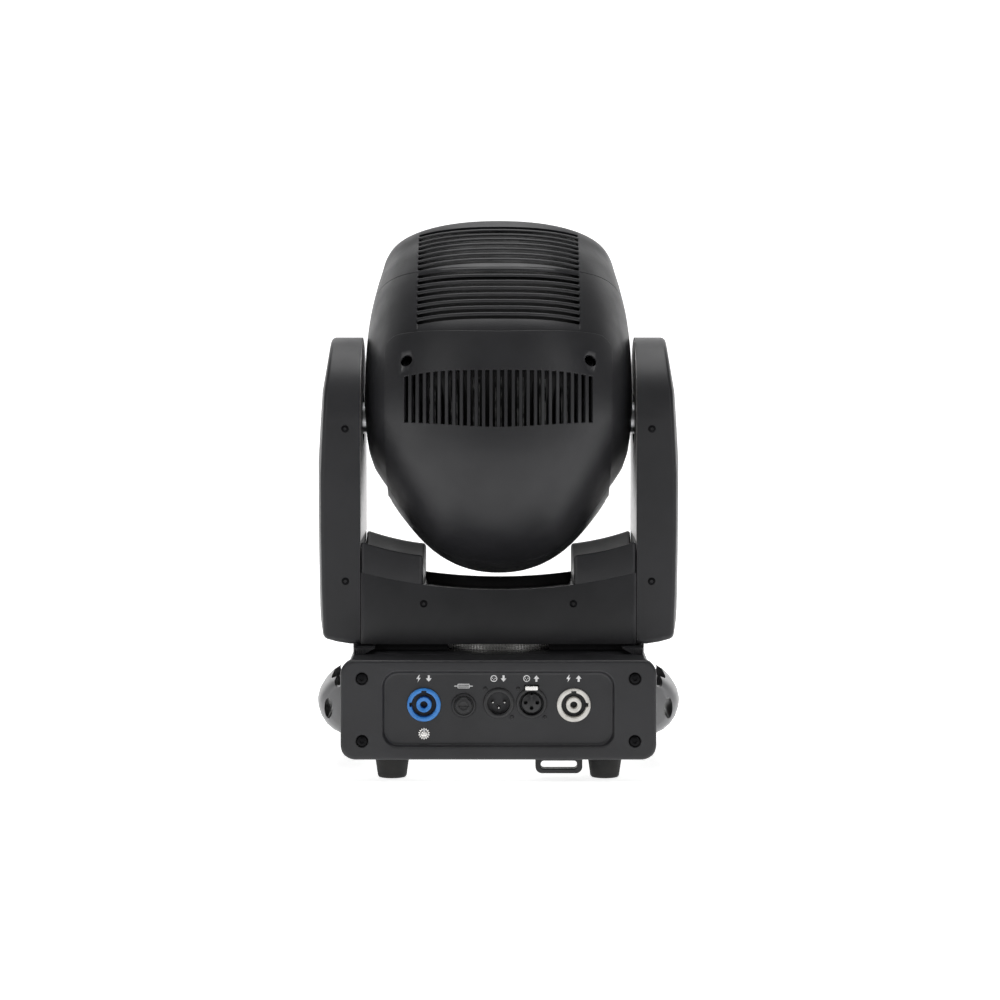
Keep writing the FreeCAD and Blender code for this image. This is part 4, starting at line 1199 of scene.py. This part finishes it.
def flange(place, barrel, name):
    """The moulded flange round a data connector, with two small screws on its diagonal."""
    x, z = place
    ring = face_lathe(((10.5, -18), (10.5, 0), (11.4, 0), (11.4, 0.9), (11.1, 1.4), (10.6, 1.6),
                       (barrel + 0.5, 1.6), (barrel + 0.15, 1.45), (barrel, 1.1), (barrel, -14.0),
                       (0, -14), (0, -18)), place)
    parts = [ring]
    for sign in (-1, 1):
        parts.append(small_screw(x + sign * 9.8, z - sign * 10.6))
    shade(35, *parts)
    return join(parts, name)


PINS = ((-4.3, 0.4), (4.3, 0.4), (0.0, -3.6))


def data_pins(place):
    pins = []
    for dx, dz in PINS:
        pins.append(face_lathe(((0, 0.2), (0.5, 0.1), (0.95, -0.4), (1.15, -1.2), (1.15, -14), (0, -14)),
                               (place[0] + dx, place[1] + dz), steps=24))
    return join(pins, "data_pins")


def data_output_core(place):
    """The grey insulator with three contact holes, standing in its groove."""
    x, z = place
    core = face_lathe(((0, 0.9), (6.6, 0.9), (7.1, 0.6), (7.25, 0.1), (7.25, -14), (0, -14)), place)
    cutters = [round_cutter(1.45, (x - dx, z + dz), -125, -104, 28) for dx, dz in PINS]
    cutters.append(box_cutter((x - 0.9, -125, z + 5.9), (x + 0.9, -106, z + 8)))
    cut(core, cutters)
    shade(35, core)
    core.name = "data_output_core"
    return bevel(core, 0.2 * MM, 2, 50)


def latch_tab(place):
    x, z = place
    outline = rounded_outline(4.8, z + 9.7, z + 12.9, 1.0, 4, x)
    tab = prism(outline, PANEL_FACE - 3.6, PANEL_FACE + 4, "latch_tab")
    return bevel(tab, 0.5 * MM, 3, 40)


def teeth_round(place, count, radius, outline, front, back):
    """Small teeth standing round a place on the panel, between two heights out of it."""
    teeth = []
    centre = Matrix.Translation((place[0] * MM, 0, place[1] * MM))
    for index in range(count):
        tooth = prism(outline, PANEL_FACE - front, PANEL_FACE - back, "tooth")
        turn = Matrix.Rotation(2 * math.pi * index / count, 4, "Y")
        tooth.data.transform(centre @ turn @ Matrix.Translation((0, 0, radius * MM)))
        teeth.append(tooth)
    return teeth


def fuse_holder(place):
    """A screw-in fuse cap: knurled rim, stepped face and a driver slot."""
    body = face_lathe(((7.5, -18), (7.5, 0), (9.0, 0), (9.0, 1.0), (8.6, 1.5), (7.4, 1.6), (7.0, 1.3),
                       (6.9, 0.9), (6.3, 0.9), (6.2, 1.6), (6.2, 3.0), (5.7, 3.5), (3.4, 3.6),
                       (3.2, 3.2), (2.6, 3.1), (0, 3.1), (0, -18)), place)
    x, z = place
    cut(body, [box_cutter((x - 4.2, -130, z - 0.6), (x + 4.2, PANEL_FACE - 2.3, z + 0.6))])
    parts = [body]
    parts += teeth_round(place, 24, 6.1, ((-0.25, 0), (0.25, 0), (0.12, 0.35), (-0.12, 0.35)), 3.0, 0.9)
    shade(35, *parts)
    return join(parts, "fuse_cap")


def ground_screw(place):
    x, z = place
    washer = face_lathe(((2.0, 0.0), (3.4, 0.0), (3.4, 0.5), (2.0, 0.5)), place, closed=True)
    teeth = teeth_round(place, 14, 3.2, ((-0.42, 0), (0.42, 0), (0.3, 1.0), (-0.3, 1.0)), 0.75, 0.15)
    head = face_lathe(((0, 2.5), (1.5, 2.4), (2.4, 2.0), (2.9, 1.3), (3.0, 0.5), (2.0, 0.5), (2.0, -6),
                      (0, -6)), place, steps=40)
    y = PANEL_FACE
    cut(head, [box_cutter((x - 1.9, y - 3, z - 0.35), (x + 1.9, y - 1.3, z + 0.35)),
               box_cutter((x - 0.35, y - 3, z - 1.9), (x + 0.35, y - 1.3, z + 1.9))])
    shade(35, washer, head)
    return join([washer, head] + teeth, "earth_screw")


def hex_screw(radius, rise, socket, name):
    """A button-head screw along +Z with a hexagon socket, its head seated at height 0."""
    profile = [(0, rise), (radius * 0.55, rise * 0.97), (radius * 0.8, rise * 0.8),
               (radius * 0.95, rise * 0.45), (radius, rise * 0.12), (radius, -0.6), (0, -0.6)]
    head = lathe(profile, name, 40)
    outline = arc((0, 0), socket, 0, 360, 6)[:-1]
    cut(head, [prism(outline, rise * 0.15, rise + 3, "hex", "Z")])
    shade(35, head)
    return bevel(head, 0.12 * MM, 2, 50)


SCREW_TURN = 0.4


def screws_at(places, pattern, name):
    """Copies of a screw: (x, y, z, direction along y), each turned a little differently."""
    copies = []
    for index, (x, y, z, direction) in enumerate(places):
        copy = add_object("screw", pattern.data.copy())
        copy.data.transform(Matrix.Rotation(SCREW_TURN * index, 4, "Z"))
        aim_y(copy, (x * MM, y * MM, z * MM), direction)
        copies.append(copy)
    bpy.data.objects.remove(pattern)
    return join(copies, name)


# --- printed pictograms ---------------------------------------------------------------------

BOLT = ((0.3, 1.8), (-1.1, -0.2), (-0.1, -0.2), (-0.4, -1.8), (1.1, 0.4), (0.1, 0.4), (0.7, 1.8))
ARROW = ((0.0, -1.6), (1.4, 0.1), (0.5, 0.1), (0.5, 1.6), (-0.5, 1.6), (-0.5, 0.1), (-1.4, 0.1))
PRINT_SCALE = 1.5
SYMBOL_Z = 60.2
FUSE_SYMBOL_Z = 54.6


def print_shape(points, place, turned=1):
    outline = [(place[0] + PRINT_SCALE * x, place[1] + PRINT_SCALE * turned * z) for x, z in points]
    return prism(outline, PANEL_FACE - 0.06, PANEL_FACE + 0.05, "print")


def print_ring(place, outer, inner):
    profile = ((outer, -0.05), (outer, 0.06), (inner, 0.06), (inner, -0.05))
    return face_lathe(profile, place, steps=36, closed=True)


def print_dot(place, radius):
    return face_lathe(((0, 0.06), (radius, 0.06), (radius, -0.05), (0, -0.05)), place, steps=20)


def pictograms():
    """Plain symbols over each connector: power or data, going in or out, and a fuse."""
    shapes = []
    for key, turned in (("power_in", 1), ("power_out", -1)):
        x, z = SOCKETS[key][0], SYMBOL_Z
        shapes.append(print_shape(BOLT, (x - 4.0, z)))
        shapes.append(print_shape(ARROW, (x + 3.6, z), turned))
    for key, turned in (("data_in", 1), ("data_out", -1)):
        x, z = SOCKETS[key][0], SYMBOL_Z
        shapes.append(print_ring((x - 3.6, z), 2.5, 1.9))
        for dx, dz in ((-0.95, 0.25), (0.95, 0.25), (0, -1.0)):
            shapes.append(print_dot((x - 3.6 + dx, z + dz), 0.4))
        shapes.append(print_shape(ARROW, (x + 3.6, z), turned))
    x, z = SOCKETS["fuse"][0], FUSE_SYMBOL_Z
    bars = ((-3.0, -1.1, 3.0, -0.75), (-3.0, 0.75, 3.0, 1.1), (-3.0, -1.1, -2.65, 1.1),
            (2.65, -1.1, 3.0, 1.1), (-4.6, -0.16, 4.6, 0.16))
    for x0, z0, x1, z1 in bars:
        shapes.append(print_shape(((x0, z0), (x1, z0), (x1, z1), (x0, z1)), (x, z)))
    return join(shapes, "panel_print")


# --- build the pieces -----------------------------------------------------------------------

CAP_SCREW_X = 68.4
CAP_SCREW_SEAT = 91.0
CAP_SCREW_Z = 5.0
YOKE_SCREWS = ((115.5, 243.0), (115.5, 128.0), (56.5, 111.0))
YOKE_SCREW_SEAT = 0.2


def light_baffle():
    """A thin lining that keeps light from showing through the louvres and the vents; its near-black tone is
    painted shade, kept dark though light reaches it through the slots.
    """
    heights = ((126.0, -6.0), (110.0, -6.5), (90.0, -6.5), (60.0, -6.5), (30.0, -7.5), (12.0, -15.0),
               (-8.0, -19.0), (-30.0, -20.0), (-52.0, -18.0), (-60.0, -14.0))
    loops = []
    for height, offset in heights:
        points = [side_point(2 * math.pi * step / 96, height, offset) for step in range(96)]
        loops.append([(x, y, height) for x, y in points])
    lining = ring_loops(loops, "light_baffle", closed=False)
    solid = lining.modifiers.new("thickness", "SOLIDIFY")
    solid.thickness = 0.8 * MM
    solid.offset = 0.0
    fins = [lining]
    for side in (-1, 1):
        for index in range(34):
            x = (index - 16.5) * 4.1
            high = depth_at(x, -46, -6.0)
            low = depth_at(x, -46, -14.0)
            near, far = sorted((side * high, side * low))
            fin = box_cutter((x - 0.5, near, -46.0), (x + 0.5, far, -6.0))
            fins.append(fin)
    whole = join(fins, "light_baffle")
    whole.data.transform(HEAD_FRAME)
    return whole


def head_pieces():
    # Painted shade: the lining takes the near-black lining_paint instead of the head's black paint.
    finish_piece(light_baffle(), "head", "black_paint", material=MAT["lining_paint"])
    shell = join([crown(), crown_rim()], "crown_shell")
    finish_piece(shell, "head", "black_plastic", "head_crown")
    finish_piece(side_shell(-1, "shell_rear"), "head", "black_plastic", "head_shell_rear")
    finish_piece(side_shell(1, "shell_front"), "head", "black_plastic", "head_shell_front")
    panels = []
    for side, name in ((-1, "panel_rear"), (1, "panel_front")):
        cutters = []
        for x in (-CAP_SCREW_X, CAP_SCREW_X):
            low, high = sorted((side * CAP_SCREW_SEAT, side * 110))
            cutter = round_cutter(4.3, (x, CAP_SCREW_Z), low, high, 40)
            cutter.data.transform(HEAD_FRAME)
            cutters.append(cutter)
        panels.append(cut(tail_panel(side, name), cutters))
    finish_piece(join(panels, "tail_panels"), "head", "black_plastic", "tail_cap")
    ends = (-CAP_SCREW_X, CAP_SCREW_X)
    places = [(x, side * CAP_SCREW_SEAT, CAP_SCREW_Z, side) for side in (-1, 1) for x in ends]
    screws = screws_at(places, hex_screw(3.5, 1.9, 1.6, "cap_screw"), "cap_screw_heads")
    screws.data.transform(HEAD_FRAME)
    finish_piece(screws, "head", "black_screw", "cap_screws")
    profile = ((72.3, 112.5), (72.3, 117.5), (72.9, 118.6), (75.0, 120.2), (76.4, 120.9), (80.6, 120.9),
               (82.2, 120.3), (82.8, 119.2), (82.8, 112.5))
    bezel = lathe(profile, "lens_ring", 160, closed=True)
    bezel.data.transform(HEAD_FRAME)
    finish_piece(bezel, "head", "black_paint", "lens_bezel")


def yoke_pieces():
    for sign, name in ((1, "arm_cover_right"), (-1, "arm_cover_left")):
        finish_piece(arm_cover(sign, name + "_moulding"), "yoke", "black_plastic", name)
    finish_piece(inner_plates(), "yoke", "inner_cover_paint", "arm_inner_covers")
    finish_piece(crossbar(-1, "crossbar_rear_moulding"), "yoke", "black_plastic", "crossbar_cover_rear")
    finish_piece(crossbar(1, "crossbar_front_moulding"), "yoke", "black_plastic", "crossbar_cover_front")
    seat = ARM_HALF_D - YOKE_SCREW_SEAT
    pairs = [(sign * x, z) for x, z in YOKE_SCREWS for sign in (-1, 1)]
    places = [(x, side * seat, z, side) for side in (-1, 1) for x, z in pairs]
    screws = screws_at(places, hex_screw(2.9, 1.0, 1.3, "yoke_screw"), "yoke_screw_heads")
    finish_piece(screws, "yoke", "black_screw", "yoke_screws")


def base_pieces():
    finish_piece(base_cover(), "base", "black_plastic", "base_cover")
    finish_piece(rear_panel(), "base", "black_plastic", "rear_panel")
    finish_piece(front_panel(), "base", "black_plastic", "front_panel")
    for name in KEYS:
        cap = key_cap(name)
        cap.name = name + "_cap"
        finish_piece(cap, name, "button_plastic", name)
    finish_piece(handles(), "base", "grip_plastic", "handles")
    finish_piece(feet(), "base", "foot_rubber", "feet")
    finish_piece(safety_anchor(), "base", "black_plastic", "safety_anchor")
    finish_piece(toothed_ring(), "base", "ribbed_metal", "pan_ring")
    seat = BASE_HALF_D - PLATE_SCREW_SEAT
    places = [(x, side * seat, z, side) for side in (-1, 1) for x, z in PLATE_SCREWS]
    screws = screws_at(places, hex_screw(4.4, 1.9, 1.9, "plate_screw"), "end_plate_screw_heads")
    finish_piece(screws, "base", "black_screw", "end_plate_screws")


def connector_pieces():
    blue = power_socket(SOCKETS["power_in"], -1, "blue_power_socket")
    finish_piece(blue, "base", "blue_connector", "power_inlet")
    white = power_socket(SOCKETS["power_out"], 1, "white_power_socket")
    finish_piece(white, "base", "white_connector", "power_outlet")
    finish_piece(flange(SOCKETS["data_in"], 8.4, "data_in_shell"), "base", "connector_black", "data_input")
    finish_piece(data_pins(SOCKETS["data_in"]), "base", "bright_metal")
    out = join([flange(SOCKETS["data_out"], 9.0, "data_out_ring"), data_output_core(SOCKETS["data_out"])],
               "data_out_shell")
    finish_piece(out, "base", "connector_black", "data_output")
    finish_piece(latch_tab(SOCKETS["data_out"]), "data_latch", "bright_metal", "data_latch")
    finish_piece(fuse_holder(SOCKETS["fuse"]), "base", "connector_black", "fuse_holder")
    finish_piece(ground_screw(SOCKETS["ground"]), "base", "bright_metal", "ground_screw")
    finish_piece(pictograms(), "base", "white_connector", material=MAT["print_white"])


dress_cad_nodes()
head_pieces()
yoke_pieces()
base_pieces()
connector_pieces()

# --- floor, light and camera ----------------------------------------------------------------


LIT_FLOOR_FROM = -0.95
SHADE_FROM = -1.7
FLOOR_GLOW = 0.75
SHADED_TONE = 0.24


def studio_sweep():
    """A pale floor that curves up into a backdrop; it glows near the object and dims in front, where it turns
    darker grey with no glow: painted shade, so that the head's lower faces reflect dark.
    """
    outline = [(-4.5, 0.0), (LIT_FLOOR_FROM, 0.0), (1.6, 0.0)]
    for step in range(1, 17):
        angle = math.pi / 2 * step / 16
        outline.append((1.6 + 0.9 * math.sin(angle), 0.9 * (1 - math.cos(angle))))
    outline.append((2.5, 4.0))
    work = bmesh.new()
    rows = [[work.verts.new((x, y, FLOOR_Z + z)) for x in (-4.0, 4.0)] for y, z in outline]
    for near, far in zip(rows, rows[1:]):
        work.faces.new((near[0], near[1], far[1], far[0]))
    mesh = bpy.data.meshes.new("studio_floor")
    work.to_mesh(mesh)
    work.free()
    floor = add_object("studio_floor", mesh)
    shade(35, floor)
    shader = Shader("studio_paper")
    separate = shader.nodes.new("ShaderNodeSeparateXYZ")
    shader.links.new(shader.coords, separate.inputs["Vector"])
    reach = separate.outputs["Y"]
    glow = shader.remap(reach, 0.0, FLOOR_GLOW, SHADE_FROM, LIT_FLOOR_FROM)
    shader.links.new(glow, shader.bsdf.inputs["Emission Strength"])
    paper = shader.colours(shader.noise(3.0, 4.0), grey(0.80), grey(0.84))
    # Painted shade: from SHADE_FROM towards the camera the floor is SHADED_TONE grey instead of pale paper, so it
    # shows dark in reflections.
    painted_shade_mix = shader.nodes.new("ShaderNodeMix")
    painted_shade_mix.data_type = "RGBA"
    shader.links.new(shader.remap(reach, 0.0, 1.0, SHADE_FROM, LIT_FLOOR_FROM), painted_shade_mix.inputs["Factor"])
    painted_shade_mix.inputs["A"].default_value = (*grey(SHADED_TONE), 1)
    shader.links.new(paper, painted_shade_mix.inputs["B"])
    shader.base(painted_shade_mix.outputs["Result"])
    shader.bsdf.inputs["Emission Color"].default_value = (1.0, 1.0, 1.0, 1)
    shader.roughness(shader.noise(20.0), 0.8, 0.95)
    shader.bump(shader.noise(400.0), 0.1, 0.0002)
    mesh.materials.append(shader.material)


LIGHT_TARGET = (0.0, 0.0, 0.2)


def softbox(name, place, size, power):
    light = bpy.data.lights.new(name, "AREA")
    light.shape = "RECTANGLE"
    light.size, light.size_y = size
    light.energy = power
    lamp = add_object(name, light)
    lamp.location = place
    lamp.rotation_euler = (Vector(LIGHT_TARGET) - Vector(place)).to_track_quat("-Z", "Y").to_euler()


OVERHEAD_POWER = 24.0
FILL_POWER = 8.0
SKY_STRENGTH = 0.16
CAMERA_PLACE = (0.00115, -2.618, 0.3471)
CAMERA_LENS = 122.4
CAMERA_PITCH = 3.53

studio_sweep()
softbox("overhead", (0.0, 0.1, 2.0), (1.6, 1.6), OVERHEAD_POWER)
softbox("fill_left", (-1.6, -2.4, 1.1), (0.7, 1.0), FILL_POWER)
softbox("fill_right", (1.6, -2.4, 1.1), (0.7, 1.0), FILL_POWER)

world = bpy.data.worlds.new("studio")
world.use_nodes = True
world.node_tree.nodes["Background"].inputs["Color"].default_value = (1.0, 1.0, 1.0, 1)
world.node_tree.nodes["Background"].inputs["Strength"].default_value = SKY_STRENGTH
bpy.context.scene.world = world
bpy.context.scene.view_settings.view_transform = "Standard"

camera_data = bpy.data.cameras.new("main")
camera_data.lens = CAMERA_LENS
camera_data.sensor_width = 36.0
camera_data.clip_end = 50.0
camera = add_object("main_camera", camera_data)
camera.location = CAMERA_PLACE
camera.rotation_euler = (math.radians(90.0 - CAMERA_PITCH), 0.0, 0.0)
bpy.context.scene.camera = camera
